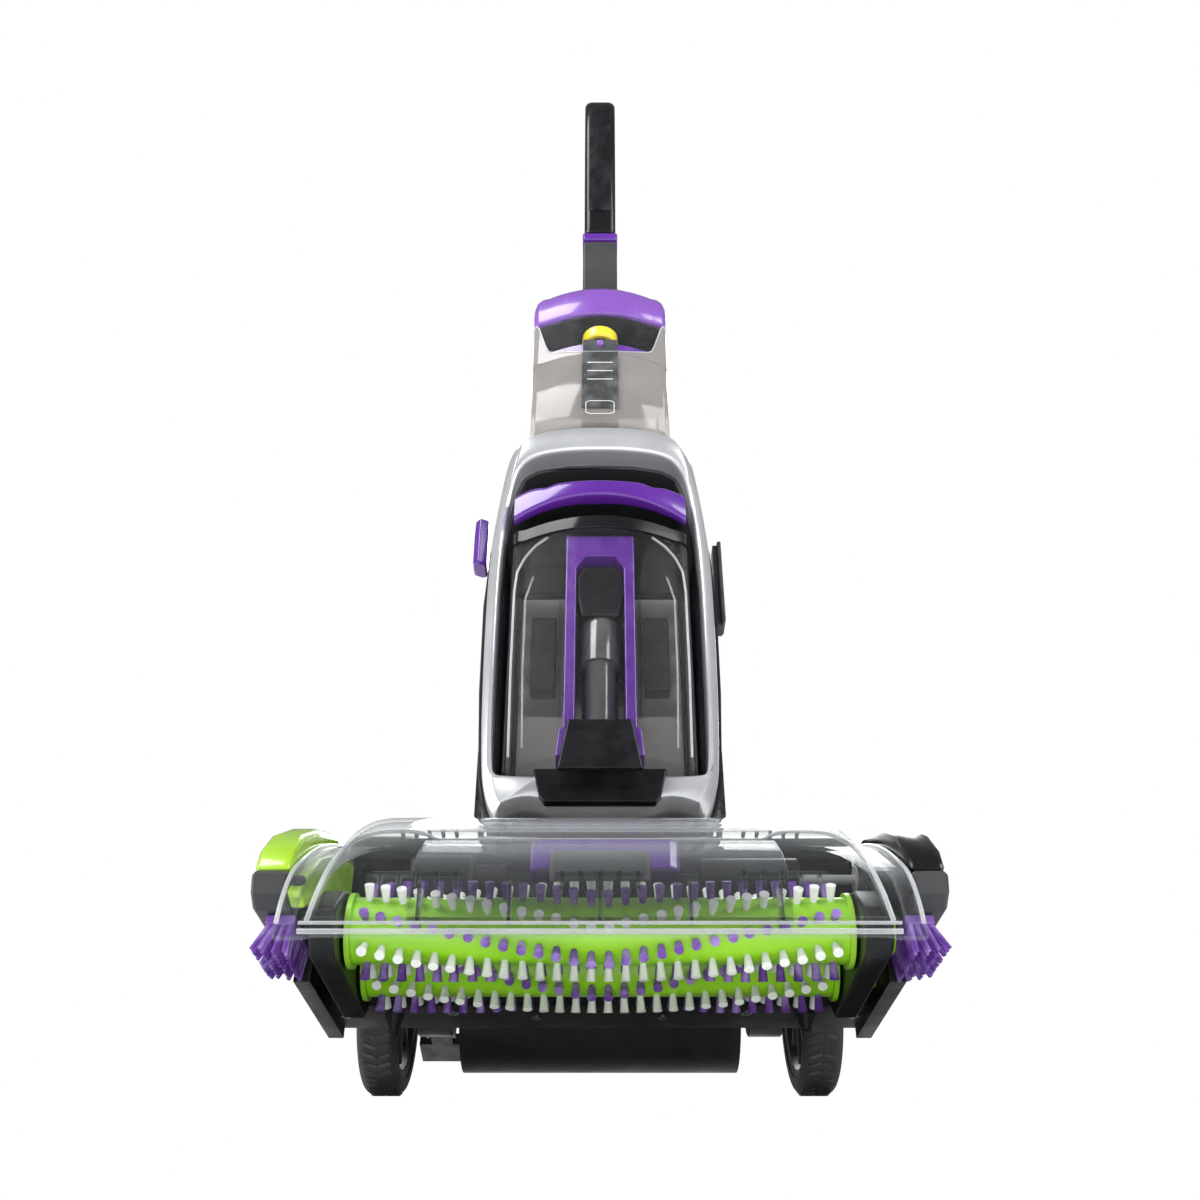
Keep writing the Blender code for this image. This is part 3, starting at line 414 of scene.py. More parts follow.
def endTree(tree, instances, given, result):
    realize = addNode(tree, "GeometryNodeRealizeInstances")
    paint = addNode(tree, "GeometryNodeSetMaterial")
    link(tree, instances, realize.inputs["Geometry"])
    link(tree, realize.outputs["Geometry"], paint.inputs["Geometry"])
    link(tree, given["Material"], paint.inputs["Material"])
    link(tree, paint.outputs["Geometry"], result["Geometry"])


def outwardTurn(tree):
    # stands an instance on its point, along the point's own direction
    named = addNode(tree, "GeometryNodeInputNamedAttribute", data_type="FLOAT_VECTOR")
    named.inputs["Name"].default_value = "outward"
    align = addNode(tree, "FunctionNodeAlignRotationToVector", axis="Z")
    link(tree, named.outputs["Attribute"], align.inputs["Vector"])
    return align.outputs["Rotation"]


def makePegTree():
    tree, given, result = newTree("pegs on points", [
        ("Base Radius", "Float", 0.002), ("Tip Radius", "Float", 0.003), ("Length", "Float", 0.009),
        ("Sides", "Int", 8), ("Wobble", "Float", 0.05), ("Seed", "Int", 3)])
    peg = addNode(tree, "GeometryNodeMeshCone")
    sockets = (("Sides", "Vertices"), ("Base Radius", "Radius Bottom"), ("Tip Radius", "Radius Top"),
               ("Length", "Depth"))
    for label, socket in sockets:
        link(tree, given[label], peg.inputs[socket])
    lean = addNode(tree, "FunctionNodeRandomValue", data_type="FLOAT_VECTOR")
    back = addNode(tree, "ShaderNodeMath", operation="MULTIPLY")
    back.inputs[1].default_value = -1.0
    link(tree, given["Wobble"], back.inputs[0])
    link(tree, back.outputs["Value"], lean.inputs["Min"])
    link(tree, given["Wobble"], lean.inputs["Max"])
    link(tree, given["Seed"], lean.inputs["Seed"])
    spin = addNode(tree, "FunctionNodeRotateRotation", rotation_space="LOCAL")
    link(tree, outwardTurn(tree), spin.inputs["Rotation"])
    link(tree, lean.outputs["Value"], spin.inputs["Rotate By"])
    stand = addNode(tree, "GeometryNodeInstanceOnPoints")
    link(tree, given["Geometry"], stand.inputs["Points"])
    link(tree, peg.outputs["Mesh"], stand.inputs["Instance"])
    link(tree, spin.outputs["Rotation"], stand.inputs["Rotation"])
    endTree(tree, stand.outputs["Instances"], given, result)
    return tree


def makeBarTree():
    tree, given, result = newTree("bars in a row", [
        ("Count", "Int", 5), ("Start", "Vector", None), ("Step", "Vector", None),
        ("Size", "Vector", None), ("Tilt", "Vector", None)])
    line = addNode(tree, "GeometryNodeMeshLine", mode="OFFSET")
    for label, socket in (("Count", "Count"), ("Start", "Start Location"), ("Step", "Offset")):
        link(tree, given[label], line.inputs[socket])
    bar = addNode(tree, "GeometryNodeMeshCube")
    link(tree, given["Size"], bar.inputs["Size"])
    stand = addNode(tree, "GeometryNodeInstanceOnPoints")
    link(tree, line.outputs["Mesh"], stand.inputs["Points"])
    link(tree, bar.outputs["Mesh"], stand.inputs["Instance"])
    link(tree, given["Tilt"], stand.inputs["Rotation"])
    endTree(tree, stand.outputs["Instances"], given, result)
    return tree


def makeRoundTree():
    tree, given, result = newTree("blocks round an axle", [
        ("Count", "Int", 40), ("Radius", "Float", 0.06), ("Centre", "Vector", None),
        ("Size", "Vector", None), ("Skew", "Float", 0.0)])
    line = addNode(tree, "GeometryNodeMeshLine", mode="OFFSET")
    link(tree, given["Count"], line.inputs["Count"])
    line.inputs["Offset"].default_value = (0, 0, 0)
    step = addNode(tree, "ShaderNodeMath", operation="DIVIDE")
    step.inputs[0].default_value = 2 * math.pi
    link(tree, given["Count"], step.inputs[1])
    angle = addNode(tree, "ShaderNodeMath", operation="MULTIPLY")
    link(tree, addNode(tree, "GeometryNodeInputIndex").outputs["Index"], angle.inputs[0])
    link(tree, step.outputs["Value"], angle.inputs[1])
    turn = addNode(tree, "FunctionNodeAxisAngleToRotation")
    turn.inputs["Axis"].default_value = (1, 0, 0)
    link(tree, angle.outputs["Value"], turn.inputs["Angle"])
    reach = addNode(tree, "ShaderNodeCombineXYZ")
    link(tree, given["Radius"], reach.inputs["Z"])
    swing = addNode(tree, "FunctionNodeRotateVector")
    link(tree, reach.outputs["Vector"], swing.inputs["Vector"])
    link(tree, turn.outputs["Rotation"], swing.inputs["Rotation"])
    spot = addNode(tree, "ShaderNodeVectorMath", operation="ADD")
    link(tree, swing.outputs["Vector"], spot.inputs[0])
    link(tree, given["Centre"], spot.inputs[1])
    move = addNode(tree, "GeometryNodeSetPosition")
    link(tree, line.outputs["Mesh"], move.inputs["Geometry"])
    link(tree, spot.outputs["Vector"], move.inputs["Position"])
    skew = addNode(tree, "ShaderNodeCombineXYZ")
    link(tree, given["Skew"], skew.inputs["Z"])
    spin = addNode(tree, "FunctionNodeRotateRotation", rotation_space="LOCAL")
    link(tree, turn.outputs["Rotation"], spin.inputs["Rotation"])
    link(tree, skew.outputs["Vector"], spin.inputs["Rotate By"])
    lug = addNode(tree, "GeometryNodeMeshCube")
    link(tree, given["Size"], lug.inputs["Size"])
    stand = addNode(tree, "GeometryNodeInstanceOnPoints")
    link(tree, move.outputs["Geometry"], stand.inputs["Points"])
    link(tree, lug.outputs["Mesh"], stand.inputs["Instance"])
    link(tree, spin.outputs["Rotation"], stand.inputs["Rotation"])
    endTree(tree, stand.outputs["Instances"], given, result)
    return tree


def makeScrewTree():
    tree, given, result = newTree("socket screws", [
        ("Head Radius", "Float", 0.004), ("Head Height", "Float", 0.002), ("Socket Radius", "Float", 0.002)])
    head = addNode(tree, "GeometryNodeMeshCylinder")
    head.inputs["Vertices"].default_value = 24
    link(tree, given["Head Radius"], head.inputs["Radius"])
    link(tree, given["Head Height"], head.inputs["Depth"])
    socket = addNode(tree, "GeometryNodeMeshCylinder")
    socket.inputs["Vertices"].default_value = 6
    link(tree, given["Socket Radius"], socket.inputs["Radius"])
    link(tree, given["Head Height"], socket.inputs["Depth"])
    half = addNode(tree, "ShaderNodeMath", operation="MULTIPLY")
    half.inputs[1].default_value = 0.45
    link(tree, given["Head Height"], half.inputs[0])
    lift = addNode(tree, "ShaderNodeCombineXYZ")
    link(tree, half.outputs["Value"], lift.inputs["Z"])
    raised = addNode(tree, "GeometryNodeTransform")
    link(tree, socket.outputs["Mesh"], raised.inputs["Geometry"])
    link(tree, lift.outputs["Vector"], raised.inputs["Translation"])
    hollow = addNode(tree, "GeometryNodeMeshBoolean", operation="DIFFERENCE")
    link(tree, head.outputs["Mesh"], hollow.inputs["Mesh 1"])
    link(tree, raised.outputs["Geometry"], hollow.inputs["Mesh 2"])
    stand = addNode(tree, "GeometryNodeInstanceOnPoints")
    link(tree, given["Geometry"], stand.inputs["Points"])
    link(tree, hollow.outputs["Mesh"], stand.inputs["Instance"])
    link(tree, outwardTurn(tree), stand.inputs["Rotation"])
    endTree(tree, stand.outputs["Instances"], given, result)
    return tree


pegTree = makePegTree()
barTree = makeBarTree()
roundTree = makeRoundTree()
screwTree = makeScrewTree()


def grown(name, tree, finish, values, points=()):
    # points are (place in millimetres, outward direction)
    mesh = bpy.data.meshes.new(name)
    mesh.from_pydata([Vector(p) * mm for p, _ in points], [], [])
    if points:
        attribute = mesh.attributes.new("outward", "FLOAT_VECTOR", "POINT")
        for slot, (_, direction) in zip(attribute.data, points):
            slot.vector = direction
    piece = bpy.data.objects.new(name, mesh)
    bpy.context.scene.collection.objects.link(piece)
    modifier = piece.modifiers.new(tree.name, "NODES")
    modifier.node_group = tree
    given = dict(values, Material=finish)
    for item in tree.interface.items_tree:
        if item.in_out == "INPUT" and item.name in given:
            modifier[item.identifier] = given[item.name]
    asMesh(piece)
    for extra in list(piece.data.attributes):
        if extra.name == "outward":
            piece.data.attributes.remove(extra)
    piece.data.shade_smooth()
    piece.data.set_sharp_from_angle(angle=math.radians(sharpFrom["new"]))
    return piece


def inMetres(*values):
    return tuple(v * mm for v in values)


def bars(name, finish, count, start, step, size, tilt=(0, 0, 0)):
    return grown(name, barTree, finish, {
        "Count": count, "Start": inMetres(*start), "Step": inMetres(*step), "Size": inMetres(*size),
        "Tilt": tuple(math.radians(t) for t in tilt)})


def screws(name, finish, points, radius=4.0, height=2.4):
    return grown(name, screwTree, finish, {
        "Head Radius": radius * mm, "Head Height": height * mm, "Socket Radius": radius * 0.5 * mm}, points)


# Camera, floor and lights

studio = {
    "cameraPlace": (0.0, -0.8195, -0.2204),
    "cameraPitch": 124.86,
    "lens": 37.35,
    "worldForLight": 0.24,
    "floorSize": 40.0,
    "fade": (0.9, 4.5),  # where the floor starts to fade to white, and where it is white
    "lamps": [  # place, size, power, aim
        ((-1.3, -1.3, 1.9), 1.3, 46.0, (0, 0, 0.55)),
        ((1.6, -1.0, 1.2), 1.1, 26.0, (0, 0, 0.5)),
        ((0.0, -1.7, -0.9), 1.2, 20.0, (0, -0.1, 0.2)),
        ((0.2, 1.9, 1.8), 1.4, 34.0, (0, 0.1, 0.5)),
        ((-1.7, 0.4, 0.5), 1.0, 12.0, (0, 0, 0.4))],
}


def makeStudio():
    scene = bpy.context.scene
    data = bpy.data.cameras.new("view")
    data.lens = studio["lens"]
    data.sensor_width = 36.0
    data.clip_start = 0.01
    camera = bpy.data.objects.new("view", data)
    camera.location = studio["cameraPlace"]
    camera.rotation_euler = (math.radians(studio["cameraPitch"]), 0, 0)
    scene.collection.objects.link(camera)
    scene.camera = camera
    scene.view_settings.view_transform = "Standard"

    world = bpy.data.worlds.new("studio")
    scene.world = world
    world.use_nodes = True
    tree = world.node_tree
    path = addNode(tree, "ShaderNodeLightPath")
    shown = addNode(tree, "ShaderNodeBackground")
    shown.inputs["Color"].default_value = (1, 1, 1, 1)
    soft = tree.nodes["Background"]
    soft.inputs["Color"].default_value = (0.95, 0.97, 1.0, 1)
    soft.inputs["Strength"].default_value = studio["worldForLight"]
    mix = addNode(tree, "ShaderNodeMixShader")
    link(tree, path.outputs["Is Camera Ray"], mix.inputs["Fac"])
    link(tree, soft.outputs["Background"], mix.inputs[1])
    link(tree, shown.outputs["Background"], mix.inputs[2])
    link(tree, mix.outputs["Shader"], tree.nodes["World Output"].inputs["Surface"])

    floorMade = bpy.data.materials.new("pale floor")
    floorMade.use_nodes = True
    tree = floorMade.node_tree
    shader = tree.nodes["Principled BSDF"]
    pale = blendColours(tree, noise(tree, 3.0, 2.0), (0.86, 0.86, 0.86), (0.90, 0.90, 0.90))
    link(tree, pale, shader.inputs["Base Color"])
    shader.inputs["Roughness"].default_value = 0.6
    # far from the machine the floor fades to white
    away = addNode(tree, "ShaderNodeVectorMath", operation="LENGTH")
    link(tree, addNode(tree, "ShaderNodeTexCoord").outputs["Object"], away.inputs[0])
    shader.inputs["Emission Color"].default_value = (1, 1, 1, 1)
    faded = spread(tree, away.outputs["Value"], 0.0, 1.0, *studio["fade"])
    link(tree, faded, shader.inputs["Emission Strength"])
    under = addNode(tree, "ShaderNodeBsdfTransparent")
    side = addNode(tree, "ShaderNodeNewGeometry")
    mix = addNode(tree, "ShaderNodeMixShader")
    link(tree, side.outputs["Backfacing"], mix.inputs["Fac"])
    link(tree, shader.outputs["BSDF"], mix.inputs[1])
    link(tree, under.outputs["BSDF"], mix.inputs[2])
    link(tree, mix.outputs["Shader"], tree.nodes["Material Output"].inputs["Surface"])
    shape = bmesh.new()
    bmesh.ops.create_grid(shape, x_segments=1, y_segments=1, size=studio["floorSize"])
    floor = newPiece("floor", shape, floorMade)
    floor.visible_shadow = False

    for i, (spot, size, power, aim) in enumerate(studio["lamps"]):
        data = bpy.data.lights.new(f"softbox_{i}", "AREA")
        data.size = size
        data.energy = power
        lamp = bpy.data.objects.new(f"softbox_{i}", data)
        lamp.location = spot
        lamp.rotation_euler = (Vector(aim) - Vector(spot)).to_track_quat("-Z", "Y").to_euler()
        scene.collection.objects.link(lamp)


makeStudio()
print("studio ready")


# Foot: clear hood with its dome, lip and side posts

hood = {
    "rows": [  # (bulging middle), (flat side panel), half width of the bulge, wall
        ((-209, 0.2), (-205, 0.2), 154, 6.0), ((-208.8, 6), (-204, 6), 153, 6.0),
        ((-208.5, 7.2), (-203.5, 7.2), 153, 2.4), ((-208, 26), (-199, 22), 150, 2.4),
        ((-201, 48), (-187, 41), 146, 2.4), ((-186, 66), (-163, 60), 142, 2.4),
        ((-162, 84), (-133, 79), 135, 2.4), ((-126, 102), (-100, 95), 126, 2.4),
        ((-90, 118), (-76, 104), 118, 2.4), ((-56, 128), (-56, 108), 110, 2.4)],
    "edge": 166.6,
    "step": 9.0,  # width over which the side panel swells into the dome
    "fill": 5,  # rows between two given rows
    "columns": [-164 + 1.5 * i for i in range(44)] + [-90, -60, -30, 0],
    "turn": (75.0, 0.62, 8.0),  # steepest wall, degrees gained per millimetre, height where it starts
    "foldHeight": 7.0,
    "lipBead": (152, -205.6, 8.6),
    "lipBeadRadius": 1.5,
    "postSides": (158.5, 166.2),
    "postLine": [(-200, 12), (-195, 26), (-183, 44), (-160, 62), (-130, 80), (-98, 95), (-66, 101.5)],
    "postDepth": (7, -2),
}


def between(rows, part):
    # a smooth curve through the given rows
    k = min(int(part), len(rows) - 2)
    t = part - k
    p0, p1, p2, p3 = rows[max(k - 1, 0)], rows[k], rows[k + 1], rows[min(k + 2, len(rows) - 1)]

    def mixed(a, b, c, d):
        bend = (2 * a - 5 * b + 4 * c - d) * t * t + (3 * b - a - 3 * c + d) * t ** 3
        return 0.5 * (2 * b + (c - a) * t + bend)

    spots = [tuple(mixed(p0[g][i], p1[g][i], p2[g][i], p3[g][i]) for i in (0, 1)) for g in (0, 1)]
    return spots[0], spots[1], mixed(p0[2], p1[2], p2[2], p3[2]), p1[3] + (p2[3] - p1[3]) * t


def hoodRow(row, columns):
    high, low, half, wall = row
    steepest, gain, start = hood["turn"]
    ahead = math.radians(max(0.0, min(steepest, (high[1] - start) * gain)))
    outer, inner = [], []
    for x in columns:
        swell = eased(0.0, 1.0, (half - abs(x)) / hood["step"])
        y = low[0] + (high[0] - low[0]) * swell
        z = low[1] + (high[1] - low[1]) * swell
        outer.append((x, y, z))
        drop = wall * math.sin(ahead) if z > hood["foldHeight"] else 0
        inner.append((x, y + wall * math.cos(ahead), z - drop))
    return outer + inner[::-1]


def makeHood():
    columns = [-hood["edge"]] + hood["columns"]
    columns += [-x for x in columns[-2::-1]]
    rows = hood["rows"][:3]
    rest = hood["rows"][2:]
    steps = hood["fill"]
    rows += [between(rest, i / steps) for i in range(1, steps * (len(rest) - 1) + 1)]
    shell = lofted("clear_hood", [hoodRow(row, columns) for row in rows], clearShell)
    place(shell, "foot", "clear", "nozzle_hood")
    x, y, z = hood["lipBead"]
    lip = tube("hood_lip_bead", [(-x, y, z), (x, y, z)], hood["lipBeadRadius"], clearShell)
    place(lip, "foot", "clear")
    near, far = hood["postSides"]
    deep, down = hood["postDepth"]
    for side in (-1, 1):
        tag = "left" if side < 0 else "right"
        rings = [[(side * near, y, z), (side * far, y, z), (side * far, y + deep, z + down),
                  (side * near, y + deep, z + down)] for y, z in hood["postLine"]]
        post = lofted(f"hood_post_{tag}", rings, clearShell)
        place(rounded(post, 1.0), "foot", "clear")


hoodLines = {
    "domeIn": 0.4,  # share of the swell's width
    "domeShift": (-0.8, 0.4),
    "domeRadius": 1.3,
    "topHalf": 112,
    "upperShift": (1.5, -1.2),
    "upperRadius": 1.7,
    "lowerTop": (-66.0, 124.6),
    "lowerRadius": 0.8,
    "sideAt": 165.4,
    "sideShift": (-0.6, 0.3),
    "sideRadius": 1.2,
    "lipHalf": 153,
    "lips": [(-208.4, 1.5, 1.4), (-208.4, 6.0, 0.9)],  # y, z, radius
    "shield": [(-190, 30), (-176, 45), (-150, 66), (-110, 86), (-66, 98), (-60, 98), (-60, 40),
               (-150, 40), (-176, 26)],
    "limeShield": (-166.4, -158.6),
    "blackShield": (164.9, 166.4),
}


def makeHoodLines():
    # whitish beads along the hood's thick clear edges, which paint the bright edge highlights, and the
    # shields on its two ends
    steps = hood["fill"]
    rest = hood["rows"][2:]
    rows = [between(rest, i / steps) for i in range(0, steps * (len(rest) - 1) + 1)]
    y, z = hoodLines["domeShift"]
    inward = hoodLines["domeIn"] * hood["step"]
    side = [(half - inward, (high[0] + low[0]) / 2 + y, (high[1] + low[1]) / 2 + z)
            for high, low, half, _ in rows]
    points = [(-x, y, z) for x, y, z in side] + side[::-1]
    place(tube("hood_dome_edge", points, hoodLines["domeRadius"], clearEdgePaintedHighlight), "foot", "clear")
    top = rows[-1][0]
    y, z = hoodLines["upperShift"]
    beads = [("upper", top[0] + y, top[1] + z, hoodLines["upperRadius"]),
             ("lower", *hoodLines["lowerTop"], hoodLines["lowerRadius"])]
    far = hoodLines["topHalf"]
    for label, y, z, radius in beads:
        bead = tube(f"hood_top_bead_{label}", [(-far, y, z), (far, y, z)], radius, clearEdgePaintedHighlight)
        place(bead, "foot", "clear")
    y, z = hoodLines["sideShift"]
    for tag, way in (("left", -1), ("right", 1)):
        flat = [(way * hoodLines["sideAt"], low[0] + y, low[1] + z) for _, low, _, _ in rows]
        place(tube(f"hood_side_edge_{tag}", flat, hoodLines["sideRadius"], clearEdgePaintedHighlight), "foot", "clear")
    far = hoodLines["lipHalf"]
    for i, (y, z, radius) in enumerate(hoodLines["lips"]):
        line = tube(f"hood_lip_line_{i}", [(-far, y, z), (far, y, z)], radius, clearEdgePaintedHighlight)
        place(line, "foot", "clear")
    shield = hoodLines["shield"]
    left = plate("side_shield_left", "x", shield, *hoodLines["limeShield"], glossLime, 1.6)
    place(left, "foot", "green")
    right = plate("side_shield_right", "x", shield, *hoodLines["blackShield"], satinBlack, 0.5)
    place(right, "foot", "black")


makeHood()
makeHoodLines()

channel = {
    "ribs": (-94, 47, 5),  # first, gap, count
    "ribAt": (-199.2, 19),
    "ribSize": (1.8, 6.0, 20),
    "combs": (-96, 0, 96),
    "teeth": 5,
    "toothGap": 10,
    "toothAt": (-197, 33.5),
    "toothSize": (2.2, 4.0, 9.0),
    "toothTilt": -20,
    "railHalf": 24,
    "railY": (-196.4, -193.6),
    "railZ": (36, 39),
}


def makeChannel():
    first, gap, count = channel["ribs"]
    place(refined("suction_channel", clearShell, 0.3, 1), "foot", "clear")
    ribs = bars("channel_ribs", clearShell, count, (first, *channel["ribAt"]), (gap, 0, 0),
                channel["ribSize"])
    place(ribs, "foot", "clear")
    gap, far = channel["toothGap"], channel["railHalf"]
    for i, middle in enumerate(channel["combs"]):
        first = middle - gap * (channel["teeth"] - 1) / 2
        teeth = bars(f"channel_comb_{i}", clearShell, channel["teeth"], (first, *channel["toothAt"]),
                     (gap, 0, 0), channel["toothSize"], (channel["toothTilt"], 0, 0))
        place(teeth, "foot", "clear")
        rail = block(f"channel_comb_rail_{i}", (middle - far, middle + far), channel["railY"],
                     channel["railZ"], clearShell, 0.5)
        place(rail, "foot", "clear")


makeChannel()
print("hood and channel ready")


# Brush rolls with their tufts in rows that sweep towards the middle

roll = {
    "height": 28.4,
    "front": -135.0,
    "rear": -77.0,
    "half": 134.0,
    "rows": 8,
    "pitch": 9.6,
    "core": 18.3,
    "length": 9.2,
    "base": 1.9,
    "tip": 2.9,
    "sweep": -66.0,
    "start": 18,  # where the first row stands, in degrees
    "sides": 9,
    "wobble": 0.05,
    "seed": 4,
}


def makeRoll(which):
    y = roll[which]
    refined(f"{which}_roll_core", rollGreen, 0.6, 2)
    count = int(2 * roll["half"] / roll["pitch"]) + 1
    kinds = {"violet": [], "white": []}
    for row in range(roll["rows"]):
        kind = kinds["violet" if row % 2 else "white"]
        for i in range(count):
            x = (i - (count - 1) / 2) * roll["pitch"]
            swept = roll["sweep"] * abs(x) / roll["half"]
            turn = math.radians(360 * row / roll["rows"] + swept + roll["start"])
            way = (0.0, math.cos(turn), math.sin(turn))
            kind.append(((x, y + roll["core"] * way[1], roll["height"] + roll["core"] * way[2]), way))
    for kind, points in kinds.items():
        finish = nylonViolet if kind == "violet" else nylonWhite
        tufts = grown(f"{which}_roll_{kind}_tufts", pegTree, finish, {
            "Base Radius": roll["base"] * mm, "Tip Radius": roll["tip"] * mm, "Length": roll["length"] * mm,
            "Sides": roll["sides"], "Wobble": roll["wobble"], "Seed": roll["seed"]}, points)
        place(tufts, f"{which}_roll", "bristle", *([f"{which}_roll_bristles"] if kind == "violet" else []))


makeRoll("front")
makeRoll("rear")
print("rolls ready")

edgeBrush = {
    "rows": 4,
    "perRow": 17,
    "length": 17.5,
    "base": 1.5,
    "tip": 1.1,
    "sides": 7,
    "wobble": 0.06,
    "seed": 9,
    "holderX": (165.5, 181),
    "holderY": (-168, -116),
    "holderZ": (20.5, 25.6),
    "rowsX": (167.6, 3.6),  # first row and gap
    "tuftsY": (-166, 48),  # first tuft and length of the row
    "shift": 1.4,
    "height": 22.5,
    "splay": (0.12, 0.16),  # the first row's, and each further row's share
    "sway": 0.06,
}


def makeEdgeBrush(side):
    tag = "left" if side < 0 else "right"
    across = sorted(side * x for x in edgeBrush["holderX"])
    holder = block(f"edge_brush_holder_{tag}", across, edgeBrush["holderY"], edgeBrush["holderZ"],
                   nylonViolet, 0.8)
    place(holder, "foot", "bristle")
    points = []
    firstX, gap = edgeBrush["rowsX"]
    firstY, length = edgeBrush["tuftsY"]
    splay, more = edgeBrush["splay"]
    sway = edgeBrush["sway"]
    for row in range(edgeBrush["rows"]):
        x = firstX + gap * row
        for i in range(edgeBrush["perRow"]):
            y = firstY + length * i / (edgeBrush["perRow"] - 1) + (edgeBrush["shift"] if row % 2 else 0)
            way = (side * (splay + more * row), sway if i % 2 else -sway, -1.0)
            points.append(((side * x, y, edgeBrush["height"]), way))
    tufts = grown(f"edge_brush_tufts_{tag}", pegTree, nylonViolet, {
        "Base Radius": edgeBrush["base"] * mm, "Tip Radius": edgeBrush["tip"] * mm,
        "Length": edgeBrush["length"] * mm, "Sides": edgeBrush["sides"],
        "Wobble": edgeBrush["wobble"], "Seed": edgeBrush["seed"]}, points)
    place(tufts, "foot", "bristle", f"edge_brush_{tag}")


makeEdgeBrush(-1)
makeEdgeBrush(1)

wheel = {
    "axle": (118.0, 68.0),
    "near": 143.0,
    "far": 171.0,
    "radius": 67.4,
    "seat": 56.2,
    "shoulder": 61,
    "nearRound": 6.5,
    "farRound": 8,
    "lugs": 56,
    "lugSkew": (22, -22),
    "lugAt": (8, 10),  # first row and gap
    "lugSink": 0.25,
    "lugSize": (9.0, 2.6, 1.5),
    "hubNear": [(1, 6.6), (1, 15), (5, 17), (7, 20), (8, 46), (2, 50), (1, 55.9)],  # depth, radius
    "hubFar": [(1, 55.9), (2, 51), (7, 47), (9, 40), (9, 22), (6, 18), (1.5, 14), (1, 6.6)],
    "spokes": 9,
    "spokeRadius": 32,
    "spokeSink": 6.5,
    "outerSpoke": (6, 4, 30),
    "innerSpoke": (5, 3, 28),
}


def makeWheel(side):
    tag = "left" if side < 0 else "right"
    body = f"{tag}_wheel"
    near, far, radius = wheel["near"], wheel["far"], wheel["radius"]
    small, large = wheel["nearRound"], wheel["farRound"]
    turns = [math.radians(a) for a in range(0, 91, 15)]
    profile = [(near, wheel["seat"]), (near, wheel["shoulder"])]
    profile += [(near + small - small * math.cos(a), radius - small + small * math.sin(a)) for a in turns]
    profile += [(far - large + large * math.sin(a), radius - large + large * math.cos(a)) for a in turns]
    profile += [(far, wheel["seat"])]
    tyre = turnedShape(f"wheel_tyre_{tag}", "x", [(side * a, r) for a, r in profile], wheel["axle"],
                       softRubber, 96)
    place(tyre, body, slotOf[f"tyre_{tag}"], f"tyre_{tag}")
    first, gap = wheel["lugAt"]
    for i, skew in enumerate(wheel["lugSkew"]):
        x = side * (near + first + gap * i)
        lugs = grown(f"tread_{tag}_{i}", roundTree, softRubber, {
            "Count": wheel["lugs"], "Radius": (radius - wheel["lugSink"]) * mm,
            "Centre": inMetres(x, *wheel["axle"]), "Size": inMetres(*wheel["lugSize"]),
            "Skew": math.radians(skew)})
        place(lugs, body, slotOf[f"tyre_{tag}"])
    hub = [(near + a, r) for a, r in wheel["hubNear"]] + [(far - a, r) for a, r in wheel["hubFar"]]
    disc = turnedShape(f"wheel_hub_{tag}", "x", [(side * a, r) for a, r in hub], wheel["axle"],
                       satinBlack, 72)
    place(rounded(disc, 0.8, 2), body, slotOf[f"hub_{tag}"], f"hub_{tag}")
    sink = wheel["spokeSink"]
    for label, x in (("outer", far - sink), ("inner", near + sink)):
        spokes = grown(f"wheel_spokes_{label}_{tag}", roundTree, satinBlack, {
            "Count": wheel["spokes"], "Radius": wheel["spokeRadius"] * mm,
            "Centre": inMetres(side * x, *wheel["axle"]), "Size": inMetres(*wheel[f"{label}Spoke"]),
            "Skew": 0.0})
        place(spokes, body, slotOf[f"hub_{tag}"])


makeWheel(-1)
makeWheel(1)
print("wheels ready")


# Silver arch round the tank bay, with its crest leaning forward

arch = {
    "outer": [(0, 176), (30, 176), (38, 179), (52, 185), (66, 182), (74, 177), (81, 180), (88, 196),
              (92, 222), (94.6, 300), (95.4, 385), (94, 440), (87.5, 495), (81, 531), (70, 548),
              (48, 557), (22, 560.5), (0, 561.5)],
    "inner": [(0, 209), (78, 209), (82, 213), (83.4, 228), (84.4, 300), (84.6, 385), (82.5, 440),
              (76.5, 490), (70, 512), (56, 522), (30, 527), (0, 528)],
    "points": 220,
    "back": 57.8,
    "front": 28.0,
    # each step of the section: how far the outline is moved in, and y
    "outerSteps": [(0.3, 57.8), (0.0, 57.2), (0.0, 40.0), (0.6, 37.0), (7.5, 28.8), (8.6, 28.0)],
    "innerSteps": [(-3.6, 27.8), (-2.2, 28.2), (-0.8, 29.4), (0.0, 31.4), (0.0, 57.8)],
    "lean": 11.0,
    "leanFrom": 455.0,
    "leanOver": 95.0,
}


def mirrored(half):
    return half + [(-u, v) for u, v in half[-2:0:-1]]


def softened(points, rounds=3):
    # the outline with its corners cut ever finer
    for _ in range(rounds):
        cut = []
        for i, (u, v) in enumerate(points):
            nextU, nextV = points[(i + 1) % len(points)]
            cut.append((0.75 * u + 0.25 * nextU, 0.75 * v + 0.25 * nextV))
            cut.append((0.25 * u + 0.75 * nextU, 0.25 * v + 0.75 * nextV))
        points = cut
    return points


def spaced(points, count):
    # the same outline as points at even spacing, starting at its first point
    lengths = [math.dist(points[i], points[(i + 1) % len(points)]) for i in range(len(points))]
    total = sum(lengths)
    made, gone, k = [], 0.0, 0
    for i in range(count):
        want = total * i / count
        while gone + lengths[k] < want:
            gone += lengths[k]
            k += 1
        t = (want - gone) / lengths[k]
        (u0, v0), (u1, v1) = points[k], points[(k + 1) % len(points)]
        made.append((u0 + (u1 - u0) * t, v0 + (v1 - v0) * t))
    return made


